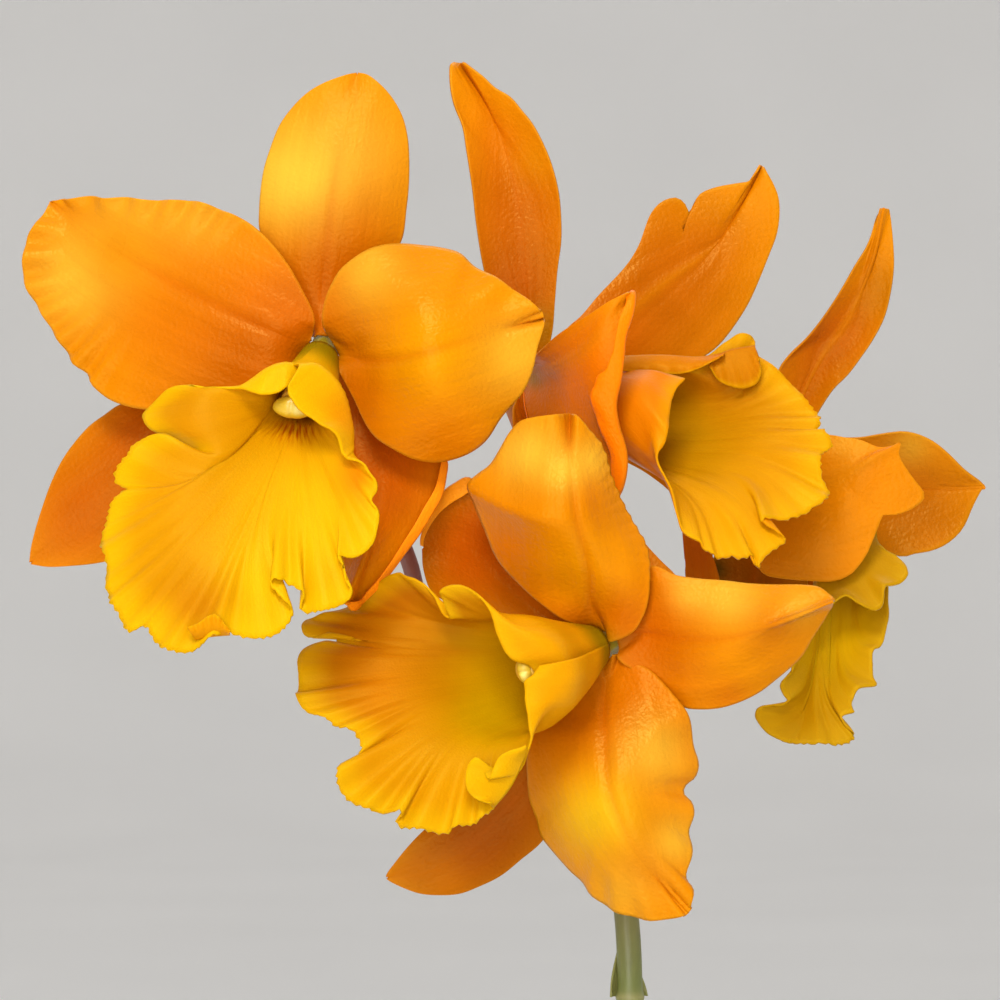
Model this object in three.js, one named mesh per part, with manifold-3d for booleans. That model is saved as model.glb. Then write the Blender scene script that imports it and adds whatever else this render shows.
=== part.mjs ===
// Potted rhyncattleanthe orchid: a round pot filled with bark, a creeping rhizome with five furrowed
// pseudobulbs and seven leathery leaves, and one flower stem that carries four orange blooms with ruffled
// yellow lips. Millimetres, +Z up. The origin is the centre of the pot's underside, and the blooms face -Y.
import * as THREE from 'three';
import { mergeVertices } from 'three/addons/utils/BufferGeometryUtils.js';
import Module from 'manifold-3d';

const wasm = await Module();
wasm.setup();

// Driving dimensions
const GAP = 0.3;
const POT = {
  height: 130, footRadius: 50, rimRadius: 72, bandHeight: 20, bandStep: 3, wall: 4, floor: 5, sides: 36,
};
const DRAIN = { count: 3, radius: 6, offset: 27 };
const BARK = { top: 117, clearance: 0.4, bottom: 6, chips: 27, chipLength: 21, chipWidth: 14, chipThick: 6 };
const RHIZOME = { halfLength: 52, radius: 5, height: 121, knobRadius: 8.2, knobTop: 128 };
const BULB = { foot: 6, neck: 6.6, furrows: 7, furrowDepth: 0.07, lean: 0.13 };
const BULBS = [
  { x: -44, y: 3, height: 60, girth: 9.5 },
  { x: -22, y: -4, height: 72, girth: 10.2 },
  { x: 0, y: 5, height: 86, girth: 10.6 },
  { x: 22, y: 2, height: 100, girth: 11 },
  { x: 44, y: -3, height: 82, girth: 10.4 },
];
const STEM_BULB = BULBS[3];
// Blades end at this share of their length, so that their tips are blunt.
const TIP_REACH = 0.985;
const LEAF = { thick: 2, baseWidth: 8, keel: 5, columns: 4, rows: 10 };
// Where a leaf's foot sits from the middle of its pseudobulb's top: beside the flower stem, or else on the
// top.
const LEAF_FOOT = { beside: { out: 7.9, up: -2 }, onTop: { out: 3.3, up: 1.6 } };
const LEAVES = [
  { bulb: 0, heading: 176, length: 150, width: 44, rise: 62, droop: 12 },
  { bulb: 1, heading: 232, length: 150, width: 44, rise: 58, droop: 4 },
  { bulb: 2, heading: 118, length: 165, width: 46, rise: 64, droop: 14 },
  { bulb: 2, heading: 286, length: 150, width: 42, rise: 50, droop: 0 },
  { bulb: 3, heading: 72, length: 165, width: 46, rise: 60, droop: 18 },
  { bulb: 3, heading: 318, length: 160, width: 44, rise: 56, droop: 2 },
  { bulb: 4, heading: 8, length: 160, width: 46, rise: 60, droop: 10 },
];
const STEM = { footRadius: 3.3, topRadius: 2.4, sheathRadius: 4.7, sheathHeight: 74 };
const SHEATH = { thick: 0.8, columns: 8, rows: 6, bulge: 1.6, wrap: 152 };
const PEDICEL = { radius: 1.7, ovaryRadius: 2.5, hubRadius: 2.9, hubAhead: 1.4 };
const TEPAL = {
  thick: 0.8, baseWidth: 3, baseRadius: 3.5, sepalAhead: -1.6, petalAhead: 0.2, columns: 8, rows: 6,
};
const LIP = { thick: 0.8, columns: 34, rows: 6, footRadius: 3.9, footAhead: 1.8, overlap: 1 };
const COLUMN = { footRadius: 2.2, waistRadius: 2.6, tipRadius: 3.4, ahead: 2.1, bend: 0.6 };

// The blooms' outlines are as seen from the front, VIEW.distance away: x to the right and z up from the
// middle of the head, and d toward the viewer. At d = 0 they are at true size.
const VIEW = { distance: 900, height: 460, front: -20 };

const COLOURS = {
  terracotta: 0xb0623c,
  bark: 0x6b4429,
  root: 0xb9b79a,
  bulb: 0x7f9440,
  leaf: 0x3f6a2a,
  sheath: 0x9aa25a,
  stem: 0x7a8a3a,
  petal: 0xf08c00,
  lip: 0xf7c400,
  column: 0xf0d778,
};

// Small helpers

const vec = (x, y, z) => new THREE.Vector3(x, y, z);
const radians = (degrees) => (degrees * Math.PI) / 180;

// A repeatable stream of numbers from 0 to 1.
function seeded(seed) {
  let state = seed;
  return () => {
    state = (state * 1664525 + 1013904223) % 4294967296;
    return state / 4294967296;
  };
}

// The place in the part's frame of a point given as seen from the front.
function seen(p) {
  const nearer = (VIEW.distance - p.z) / VIEW.distance;
  return vec(p.x * nearer, VIEW.front - p.z, VIEW.height + p.y * nearer);
}

// In an outline as seen, a point is vec(x, z, d).
const point = ([x, z, d = 0]) => vec(x, z, d);

function splineThrough(points) {
  return new THREE.CatmullRomCurve3(points, false, 'centripetal');
}

// A value between evenly spaced keys, for t from 0 to 1.
function between(keys, t) {
  const place = t * (keys.length - 1);
  const low = Math.min(Math.floor(place), keys.length - 2);
  return THREE.MathUtils.lerp(keys[low], keys[low + 1], THREE.MathUtils.smoothstep(place - low, 0, 1));
}

// Solids

function geometryOf(positions, faces) {
  const geometry = new THREE.BufferGeometry();
  geometry.setAttribute('position', new THREE.Float32BufferAttribute(positions, 3));
  geometry.setIndex(faces);
  return geometry;
}

function solidOf(geometry) {
  const bare = geometry.clone();
  bare.deleteAttribute('normal');
  bare.deleteAttribute('uv');
  const merged = mergeVertices(bare, 1e-4);
  const mesh = new wasm.Mesh({
    numProp: 3,
    vertProperties: merged.attributes.position.array,
    triVerts: new Uint32Array(merged.index.array),
  });
  return new wasm.Manifold(mesh);
}

function geometryOfSolid(solid) {
  const mesh = solid.getMesh();
  return geometryOf(Array.from(mesh.vertProperties), Array.from(mesh.triVerts));
}

function signedVolume(geometry) {
  const at = geometry.getAttribute('position');
  const corners = [vec(), vec(), vec()];
  let sum = 0;
  for (let i = 0; i < geometry.index.count; i += 3) {
    corners.forEach((corner, k) => corner.fromBufferAttribute(at, geometry.index.getX(i + k)));
    sum += corners[0].dot(corners[1].cross(corners[2])) / 6;
  }
  return sum;
}

// Turns every face round if the closed surface faces inwards.
function facingOut(geometry) {
  if (signedVolume(geometry) > 0) return geometry;
  const turned = Array.from(geometry.index.array);
  for (let i = 0; i < turned.length; i += 3) [turned[i + 1], turned[i + 2]] = [turned[i + 2], turned[i + 1]];
  geometry.setIndex(turned);
  return geometry;
}

// A closed solid through rings of points, each ring with the same number of points, with flat ends.
function loft(rings) {
  const count = rings[0].length;
  const positions = rings.flat().flatMap((p) => [p.x, p.y, p.z]);
  const faces = [];
  for (let row = 0; row + 1 < rings.length; row++) {
    for (let k = 0; k < count; k++) {
      const a = row * count + k;
      const b = row * count + ((k + 1) % count);
      faces.push(a, b, b + count, a, b + count, a + count);
    }
  }
  const last = (rings.length - 1) * count;
  for (let k = 1; k + 1 < count; k++) {
    faces.push(0, k + 1, k);
    faces.push(last, last + k, last + k + 1);
  }
  return facingOut(geometryOf(positions, faces));
}

// A round rod along a smooth path, with its radius between the given keys.
function rod(points, radii, sides, steps) {
  const path = splineThrough(points);
  const frames = path.computeFrenetFrames(steps, false);
  const rings = [];
  for (let i = 0; i <= steps; i++) {
    const middle = path.getPointAt(i / steps);
    const radius = between(radii, i / steps);
    const ring = [];
    for (let k = 0; k < sides; k++) {
      const turn = (2 * Math.PI * k) / sides;
      const across = frames.normals[i].clone().multiplyScalar(radius * Math.cos(turn));
      ring.push(across.addScaledVector(frames.binormals[i], radius * Math.sin(turn)).add(middle));
    }
    rings.push(ring);
  }
  return loft(rings);
}

// A blade of even thickness about a surface. surfaceAt(across, along) gives its middle, with both from 0 to
// 1, and both faces are split into triangles alike.
function blade(surfaceAt, columns, rows, thick) {
  const middle = [];
  const normals = [];
  for (let row = 0; row <= rows; row++) {
    for (let col = 0; col <= columns; col++) {
      middle.push(surfaceAt(col / columns, row / rows));
      normals.push(vec());
    }
  }
  const wide = columns + 1;
  const upper = [];
  for (let row = 0; row < rows; row++) {
    for (let col = 0; col < columns; col++) {
      const a = row * wide + col;
      upper.push([a, a + 1, a + wide + 1], [a, a + wide + 1, a + wide]);
    }
  }
  for (const [a, b, c] of upper) {
    const normal = middle[b].clone().sub(middle[a]).cross(middle[c].clone().sub(middle[a]));
    [a, b, c].forEach((k) => normals[k].add(normal));
  }
  const positions = [];
  for (const side of [0.5, -0.5]) {
    middle.forEach((p, k) => {
      const moved = p.clone().addScaledVector(normals[k].clone().normalize(), side * thick);
      positions.push(moved.x, moved.y, moved.z);
    });
  }
  const under = middle.length;
  const faces = [];
  for (const [a, b, c] of upper) faces.push(a, b, c, a + under, c + under, b + under);
  const rim = [];
  for (let col = 0; col < columns; col++) rim.push(col);
  for (let row = 0; row < rows; row++) rim.push(row * wide + columns);
  for (let col = columns; col > 0; col--) rim.push(rows * wide + col);
  for (let row = rows; row > 0; row--) rim.push(row * wide);
  rim.forEach((a, k) => {
    const b = rim[(k + 1) % rim.length];
    faces.push(b, a, a + under, b, a + under, b + under);
  });
  return facingOut(geometryOf(positions, faces));
}

const orchid = new THREE.Group();

function add(name, geometry, colour, roughness) {
  geometry.computeVertexNormals();
  const material = new THREE.MeshStandardMaterial({ color: colour, roughness, metalness: 0 });
  const mesh = new THREE.Mesh(geometry, material);
  mesh.name = name;
  orchid.add(mesh);
}

// Pot and bark

function potGeometry() {
  const bandFoot = POT.height - POT.bandHeight;
  const slope = (POT.rimRadius - POT.bandStep - POT.footRadius) / POT.height;
  const outside = (z) => POT.footRadius + slope * z;
  const profile = [
    [0, 0],
    [POT.footRadius - 1, 0],
    [POT.footRadius, 1],
    [outside(bandFoot), bandFoot],
    [outside(bandFoot) + POT.bandStep, bandFoot + 1.5],
    [POT.rimRadius, POT.height - 1.5],
    [POT.rimRadius - 1, POT.height],
    [POT.rimRadius - POT.bandStep - POT.wall + 1.5, POT.height],
    [outside(POT.height) - POT.wall, POT.height - 1.5],
    [outside(POT.floor) - POT.wall, POT.floor],
    [0, POT.floor],
  ];
  const shell = new THREE.LatheGeometry(profile.map(([r, z]) => new THREE.Vector2(r, z)), POT.sides);
  shell.rotateX(Math.PI / 2);
  let solid = solidOf(facingOut(mergeBare(shell)));
  for (let k = 0; k < DRAIN.count; k++) {
    const turn = (2 * Math.PI * k) / DRAIN.count;
    const drill = new THREE.CylinderGeometry(DRAIN.radius, DRAIN.radius, 4 * POT.floor, 12);
    drill.rotateX(Math.PI / 2);
    drill.translate(DRAIN.offset * Math.cos(turn), DRAIN.offset * Math.sin(turn), 0);
    solid = solid.subtract(solidOf(drill));
  }
  return geometryOfSolid(solid);
}

// A geometry with its shared vertices merged and only its positions kept.
function mergeBare(geometry) {
  geometry.deleteAttribute('normal');
  geometry.deleteAttribute('uv');
  return mergeVertices(geometry, 1e-4);
}

// Where the pot's inside wall lies at a height.
function potInside(z) {
  const slope = (POT.rimRadius - POT.bandStep - POT.footRadius) / POT.height;
  return POT.footRadius + slope * z - POT.wall;
}

// One flat chip of bark with five uneven corners, lying at a tilt in the top of the fill.
function chipGeometry(random) {
  const outline = new THREE.Shape();
  for (let k = 0; k < 5; k++) {
    const turn = (2 * Math.PI * (k + 0.5 * random())) / 5;
    const x = 0.5 * BARK.chipLength * (0.8 + 0.4 * random()) * Math.cos(turn);
    const y = 0.5 * BARK.chipWidth * (0.8 + 0.4 * random()) * Math.sin(turn);
    if (k === 0) outline.moveTo(x, y);
    else outline.lineTo(x, y);
  }
  const chip = new THREE.ExtrudeGeometry(outline, { depth: BARK.chipThick, bevelEnabled: false });
  chip.translate(0, 0, -0.6 * BARK.chipThick);
  chip.rotateX(0.7 * (random() - 0.5));
  chip.rotateY(0.7 * (random() - 0.5));
  chip.rotateZ(2 * Math.PI * random());
  return chip;
}

function barkSolid(holes) {
  const reach = potInside(BARK.top) - BARK.clearance;
  const foot = potInside(BARK.bottom) - BARK.clearance;
  const profile = [[0, BARK.bottom], [foot, BARK.bottom], [reach, BARK.top], [0, BARK.top]];
  const fill = new THREE.LatheGeometry(profile.map(([r, z]) => new THREE.Vector2(r, z)), POT.sides);
  fill.rotateX(Math.PI / 2);
  let solid = solidOf(facingOut(mergeBare(fill)));
  const random = seeded(11);
  const golden = radians(137.508);
  for (let k = 0; k < BARK.chips; k++) {
    const out = (reach - 0.62 * BARK.chipLength) * Math.sqrt((k + 0.5) / BARK.chips);
    const chip = chipGeometry(random);
    chip.translate(out * Math.cos(k * golden), out * Math.sin(k * golden), BARK.top);
    solid = solid.add(solidOf(chip));
  }
  for (const hole of holes) solid = solid.subtract(hole);
  return solid;
}

// Rhizome, roots and pseudobulbs

function bulbPlaces() {
  return BULBS.map((bulb) => vec(bulb.x, bulb.y, RHIZOME.knobTop));
}

// The rhizome with its roots, or the room that it needs in the bark when grown by a clearance.
function rhizomeSolid(grow) {
  const places = bulbPlaces();
  const ends = [-RHIZOME.halfLength - grow, RHIZOME.halfLength + grow];
  const path = [
    vec(ends[0], 4, RHIZOME.height),
    ...places.map((p) => vec(p.x, p.y, RHIZOME.height)),
    vec(ends[1], -3, RHIZOME.height),
  ];
  const radius = RHIZOME.radius + grow;
  let solid = solidOf(rod(path, [0.8 * radius, radius, radius, radius, 0.8 * radius], 8, 10));
  places.forEach((place, k) => {
    const low = RHIZOME.height - grow;
    const high = RHIZOME.knobTop + (grow > 0 ? 4 : 0);
    const knob = RHIZOME.knobRadius + grow;
    const knobRings = [
      [0.8 * knob, low],
      [knob, 0.5 * (low + RHIZOME.knobTop)],
      [0.9 * knob, high],
    ];
    const rings = knobRings.map(([r, z]) => ringAt(vec(place.x, place.y, z), r, 10, 0));
    solid = solid.add(solidOf(loft(rings)));
    for (const side of [-1, 1]) {
      const away = radians(90 * side + 25 * (k - 2));
      const out = (length) => vec(place.x + length * Math.cos(away), place.y + length * Math.sin(away), 0);
      const root = [
        out(2).setZ(RHIZOME.height),
        out(8).setZ(RHIZOME.height - 1),
        out(13).setZ(RHIZOME.height - 11),
        out(14).setZ(RHIZOME.height - 30 - grow),
      ];
      solid = solid.add(solidOf(rod(root, [1.9 + grow, 1.7 + grow, 1.4 + grow], 6, 4)));
    }
  });
  return solid;
}

function ringAt(middle, radius, sides, furrow) {
  const ring = [];
  for (let k = 0; k < sides; k++) {
    const turn = (2 * Math.PI * k) / sides;
    const r = radius * (1 - furrow * (k % 2));
    ring.push(vec(middle.x + r * Math.cos(turn), middle.y + r * Math.sin(turn), middle.z));
  }
  return ring;
}

// The middle of a pseudobulb at a share of its height: it leans outwards, and more toward its top.
function bulbMiddle(bulb, share) {
  const lean = BULB.lean * bulb.height * share * share * (bulb.x / RHIZOME.halfLength);
  return vec(bulb.x + lean, bulb.y, RHIZOME.knobTop + GAP + bulb.height * share);
}

function bulbGeometry(bulb) {
  const swell = [
    [0, BULB.foot],
    [0.08, BULB.foot + 1],
    [0.28, 0.86 * bulb.girth],
    [0.5, bulb.girth],
    [0.72, 0.96 * bulb.girth],
    [0.9, 0.76 * bulb.girth],
    [1, BULB.neck],
  ];
  const rings = swell.map(([share, radius]) => {
    const furrow = BULB.furrowDepth * Math.sin(Math.PI * share);
    return ringAt(bulbMiddle(bulb, share), radius, 2 * BULB.furrows, furrow);
  });
  return loft(rings);
}

// Leaves

// A strap leaf that leaves the top of its pseudobulb steeply and arches over, folded lightly along its
// midrib.
function leafSurface(leaf) {
  const bulb = BULBS[leaf.bulb];
  const heading = radians(leaf.heading);
  const out = vec(Math.cos(heading), Math.sin(heading), 0);
  const side = vec(-Math.sin(heading), Math.cos(heading), 0);
  const place = bulb === STEM_BULB ? LEAF_FOOT.beside : LEAF_FOOT.onTop;
  const foot = bulbMiddle(bulb, 1).addScaledVector(out, place.out).add(vec(0, 0, place.up));
  const steps = 24;
  const spine = [foot];
  for (let k = 0; k < steps; k++) {
    const angle = radians(THREE.MathUtils.lerp(leaf.rise, leaf.droop, (k + 0.5) / steps));
    const step = leaf.length / steps;
    const next = spine[k].clone().addScaledVector(out, step * Math.cos(angle));
    spine.push(next.add(vec(0, 0, step * Math.sin(angle))));
  }
  const path = splineThrough(spine);
  return (across, along) => {
    const reach = TIP_REACH * along;
    const middle = path.getPointAt(reach);
    const up = path.getTangentAt(reach).cross(side).negate();
    const swell = Math.pow(Math.sin(Math.PI * Math.pow(0.04 + 0.955 * reach, 0.72)), 0.62);
    const grown = THREE.MathUtils.smoothstep(reach, 0, 0.3);
    const width = THREE.MathUtils.lerp(LEAF.baseWidth, leaf.width, grown) * swell;
    const a = 2 * across - 1;
    const fold = LEAF.keel * Math.abs(a) * (width / leaf.width) * (1 - 0.4 * reach);
    return middle.addScaledVector(side, 0.5 * width * a).addScaledVector(up, fold);
  };
}

// Flower stem

function stemPath() {
  const foot = bulbMiddle(STEM_BULB, 1).add(vec(0, 0, GAP));
  return [
    foot,
    foot.clone().add(vec(-0.5, 1, 40)),
    foot.clone().add(vec(-1.5, 3, 90)),
    foot.clone().add(vec(-1, 5, 140)),
    seen(vec(22, -58, -32)),
    seen(vec(21.5, -46, -31)),
  ];
}

// Each pedicel leaves the stem near its top and swells into the ovary behind its bloom. The way is as seen,
// and ovary is how far behind the bloom the ovary starts.
const PEDICELS = [
  { way: [[21.9, -57, -32], [10, -47, -27], [-5, -35, -21], [-15, -23, -15], [-18.3, -12, -10],
    [-25, 4, -7]],
    ovary: 15 },
  { way: [[22, -54, -32], [25.5, -48, -24], [29.5, -38, -12]], ovary: 11 },
  { way: [[21.6, -49, -31], [18, -32, -32], [11, -8, -33], [6.6, 10, -32]], ovary: 7 },
  { way: [[21.8, -51.5, -31], [30, -40, -42], [40, -26, -55], [45, -12, -61]], ovary: 10 },
];

function stemGeometry() {
  const radii = [STEM.footRadius, STEM.footRadius - 0.3, STEM.topRadius + 0.2, STEM.topRadius];
  let solid = solidOf(rod(stemPath(), radii, 8, 16));
  BLOOMS.forEach((bloom, k) => {
    const frame = bloomFrame(bloom);
    const { way, ovary } = PEDICELS[k];
    const points = [...way.map(point), frame.at(0, 0, -ovary), frame.at(0, 0, PEDICEL.hubAhead)];
    const thin = PEDICEL.radius;
    const thick = PEDICEL.ovaryRadius;
    const pedicel = rod(points.map(seen), [thin, thin, thin, thin, thick, thick, PEDICEL.hubRadius], 7, 11);
    solid = solid.add(solidOf(pedicel));
  });
  return geometryOfSolid(solid);
}

// The sheath wraps most of the way round the stem's foot and narrows to a point at the back.
function sheathSurface() {
  const path = splineThrough(stemPath());
  const length = path.getLength();
  return (across, along) => {
    const reach = 0.98 * along;
    const middle = path.getPointAt((1 + STEM.sheathHeight * reach) / length);
    const half = radians(SHEATH.wrap) * (1 - Math.pow(reach, 2.2));
    const turn = radians(90) + half * (2 * across - 1);
    const radius = STEM.sheathRadius + SHEATH.bulge * Math.sin(Math.PI * reach);
    return middle.add(vec(radius * Math.cos(turn), radius * Math.sin(turn), 0));
  };
}

// Blooms, each point as seen: x, z and, where the third number is given, d. An edge's depth is that of the
// rib at the same share of the length, plus the edge's rise, which is keyed evenly from base to tip.

const BLOOMS = [
  {
    centre: [-35.5, 29, 8],
    columnTip: [-41.2, 19.2, 28.5],
    facing: [-0.27, -0.42, 0.87],
    tepals: {
      dorsal_sepal: {
        sepal: true,
        turn: 0,
        tip: [-28.5, 85.5, 5],
        rib: [[-35.5, 40, 5.5], [-34.5, 52, 7.5], [-33, 64, 9], [-31, 75, 8]],
        left: [[-38, 33], [-41, 38], [-45, 46], [-48, 53.8], [-47.8, 62], [-46, 70], [-44, 75], [-41, 79],
          [-35, 83.5],
          [-31, 85]],
        right: [[-32, 36], [-27, 43], [-19.7, 52], [-18.4, 60], [-18.2, 68], [-19.5, 76.5], [-22.5, 81.8],
          [-26, 84.8]],
        rise: { left: [0, -2, -4, -3, 0], right: [0, -2, -4, -3, 0] },
      },
      petal_left: {
        turn: 60,
        tip: [-90, 59.8, -7],
        rib: [[-44, 33, 10.5], [-52, 36.5, 9.5], [-60, 40.5, 7.5], [-70, 46, 4], [-80, 52.5, -1]],
        left: [[-37.2, 37], [-39.5, 42], [-43, 48], [-48, 53.7], [-52, 56.5], [-58, 59], [-65, 60],
          [-75, 60.6],
          [-82, 60.8]],
        right: [[-43, 26.5], [-50, 22.5], [-60, 19], [-70, 18], [-76, 19.2], [-81, 22.5], [-85, 27.2],
          [-90, 34.5],
          [-94.8, 42.5], [-95.6, 47], [-94.5, 53], [-92, 57.5]],
        rise: { left: [0, 0.5, 1, 2, 0], right: [0, -2, -3, -3, 0] },
      },
      petal_right: {
        turn: 300,
        tip: [8.9, 36.5, 14],
        rib: [[-30, 28.5, 11], [-23, 28, 19], [-15, 29.5, 25], [-8, 31.5, 24], [0, 33.8, 20]],
        left: [[-35.5, 36], [-33.5, 43.5], [-29, 48.5], [-23, 51], [-15, 50.8], [-8, 49], [-2.5, 45.3],
          [4.5, 41]],
        right: [[-31.6, 27], [-30, 24], [-28.6, 19], [-25, 12.7], [-21, 10], [-13, 7.6], [-6, 9.5],
          [0, 16.2],
          [4.5, 21.5], [7.5, 30.5]],
        rise: { left: [0, -3, -10, -8, 0], right: [0, -3, -11, -8, 0] },
      },
      lateral_sepal_left: {
        sepal: true,
        turn: 120,
        tip: [-94.2, -12.8, -6],
        rib: [[-45, 22.5, 2.5], [-58, 14, -2], [-72, 4, -4], [-84, -5, -5]],
        left: [[-45, 25], [-58, 22], [-70, 20], [-79, 17], [-85, 11.5], [-89.5, 4], [-92.5, -4.5]],
        right: [[-42, 19], [-52, 6], [-62, -4], [-72, -10.5], [-80, -12.5], [-87, -13.3]],
        rise: { left: [0, -3, -4, -2, 0], right: [0, -1, -2, -1, 0] },
      },
      lateral_sepal_right: {
        sepal: true,
        turn: 240,
        tip: [-31, -20.6, 26],
        rib: [[-30.5, 20, 4], [-26, 10, 7], [-24.5, 0, 13], [-27, -11, 21]],
        left: [[-27, 23], [-19, 17], [-13, 11], [-11.5, 5], [-14.5, -2.5], [-20, -10.5], [-26, -18]],
        right: [[-36, 20], [-37.5, 10], [-37.5, 0], [-36, -10], [-33.5, -17]],
        rise: { left: [0, -2, -1, 0, 0], right: [0, -2, -3, -1, 0] },
      },
    },
    tube: { centre: [-39, 21.3, 18], radius: 7.4 },
    throat: { centre: [-41, 17.6, 26], radius: 9.8 },
    lip: [
      { turn: -4, limb: [-38.6, 26.4, 30.5], depth: 32, margin: [[-41, 23.4]] },
      { turn: 14, limb: [-42, 27.5, 31.5], depth: 34, margin: [[-43.2, 22.2]] },
      { turn: 34, limb: [-46.3, 26.4, 31.5], depth: 34, margin: [[-44.8, 21.3], [-48, 20.9]] },
      { turn: 52, limb: [-51.3, 23, 30], depth: 31, margin: [[-50.3, 21.6], [-53, 22.4]] },
      { turn: 72, limb: [-60, 19, 31], depth: 26,
        margin: [[-56, 22.2], [-60, 22.7], [-66.5, 22.3], [-70, 19], [-71.6, 17]] },
      { turn: 90, limb: [-62, 11.5, 33], depth: 28, margin: [[-70, 14], [-69.5, 13.2], [-74.8, 9]] },
      { turn: 115, limb: [-64, 2, 36], depth: 33, margin: [[-77.6, 5], [-75.2, 1.8], [-78.3, -0.5],
        [-79.5, -6]] },
      { turn: 140, limb: [-62, -8, 40], depth: 40, margin: [[-80.3, -9.5], [-79.2, -18], [-77, -23]] },
      { turn: 165, limb: [-54, -12, 41], depth: 47, margin: [[-74.3, -27], [-71, -26], [-67, -30.5],
        [-62, -30.6]] },
      { turn: 185, limb: [-43.7, -4.5, 38], depth: 45,
        margin: [[-56, -27.5], [-49, -28.3], [-43, -26], [-42.3, -22], [-44.8, -16.8]] },
      { turn: 205, limb: [-34.5, -5, 39], depth: 46, margin: [[-41.5, -17.3], [-39, -22.8],
        [-33.5, -22.4], [-30, -18]] },
      { turn: 232, limb: [-30.5, 0, 38], depth: 43, margin: [[-31, -13.5], [-32, -11.4], [-27, -10.8],
        [-25.3, -9]] },
      { turn: 256, limb: [-29, 6, 35.5], depth: 39, margin: [[-24.2, -3], [-25.5, -0.3], [-24.5, 1.5]] },
      { turn: 278, limb: [-29.5, 10.3, 33], depth: 37, margin: [[-25, 4], [-28.3, 7.7], [-30.8, 8.2]] },
      { turn: 303, limb: [-29.4, 14.5, 32], depth: 37, margin: [[-31.8, 10], [-33, 13]] },
      { turn: 328, limb: [-31.5, 22, 32], depth: 37, margin: [[-36.2, 15.2], [-39, 17]] },
      { turn: 347, limb: [-36.4, 27.2, 33], depth: 37, margin: [[-41, 18.8], [-42.4, 21]] },
      { turn: 364, limb: [-40.2, 27, 34.5], depth: 37, margin: [[-42.4, 22.8]] },
    ],
  },
  {
    centre: [20, -29, 10],
    columnTip: [6.8, -33.9, 28],
    facing: [-0.68, -0.22, 0.7],
    tepals: {
      dorsal_sepal: {
        sepal: true,
        turn: 0,
        tip: [66.6, -20.3, 30],
        rib: [[28, -26.5, 12], [36, -27.5, 16], [46, -27.5, 21], [56, -24.5, 26]],
        left: [[23.5, -25.5], [27, -19], [30, -13.5], [35, -15], [40, -15.8], [50, -16.8], [60, -17],
          [65, -18]],
        right: [[24.5, -30.8], [30, -33.5], [35.5, -39.5], [40, -41.8], [48, -40.3], [55, -36], [60.5, -31],
          [64.5, -24.5]],
        rise: { left: [0, -2, -3, -2, 0], right: [0, -3, -5, -3, 0] },
      },
      petal_left: {
        turn: 60,
        tip: [14, 17.3, 18],
        rib: [[18.5, -22, 13], [17.5, -13, 21], [15, -3, 26], [14, 8, 24]],
        left: [[12, -23.5], [3, -16], [-1, -11], [-5, -1], [-6.5, 3], [-2, 7], [2, 13.5], [7, 16.6]],
        right: [[22.5, -28.3], [26.5, -26.5], [29.6, -20], [29.8, -12], [27, -5.2], [23.7, 1.3],
          [21.3, 8.5],
          [18, 13.8]],
        rise: { left: [0, -5, -12, -10, 0], right: [0, -3, -8, -7, 0] },
      },
      petal_right: {
        turn: 300,
        tip: [37.6, -82.6, 20],
        rib: [[21, -37, 10.5], [21, -47, 17], [22, -58, 22], [26, -68, 23], [32, -76.5, 21]],
        left: [[25, -31], [30, -34], [35.5, -40], [38.5, -46], [39.3, -53], [37, -58.5], [38.4, -64],
          [38, -71],
          [37.5, -75.5], [38.6, -79]],
        right: [[18, -32], [12, -41], [6.5, -46], [5.5, -55], [7.5, -64], [14, -74], [20, -80.5],
          [26, -83.3],
          [33, -84]],
        rise: { left: [0, -2, -5, -4, 0], right: [0, -5, -13, -7, 0] },
      },
      lateral_sepal_left: {
        sepal: true,
        turn: 120,
        tip: [-15.8, -8.9, -1],
        rib: [[12, -25, 8], [3, -17.5, 5], [-5, -10, 2], [-11, -8, 0]],
        left: [[15, -22], [7, -11], [0, -3], [-6, 3.8], [-11, 1], [-14.5, -4.5]],
        right: [[10, -28.5], [0, -24], [-8, -19], [-13, -15], [-15.5, -12]],
        rise: { left: [0, -1, -1, 1, 0], right: [0, -2, -3, -2, 0] },
      },
      lateral_sepal_right: {
        sepal: true,
        turn: 240,
        tip: [-22.9, -75.6, -2],
        rib: [[15.5, -40, 5], [8, -53, 2], [0, -63, 0], [-11, -71.5, -1]],
        left: [[12, -36], [2, -46], [-6, -56], [-12, -63], [-18, -69]],
        right: [[18.5, -37], [17, -48], [14, -58], [8.7, -67.8], [4, -72], [-4, -77.2], [-12, -79],
          [-19.5, -77.5]],
        rise: { left: [0, -1, -2, -1, 0], right: [0, -1, -2, -1, 0] },
      },
    },
    tube: { centre: [12, -31.8, 18.5], radius: 8 },
    throat: { centre: [5.7, -33.8, 24.5], radius: 12 },
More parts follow.
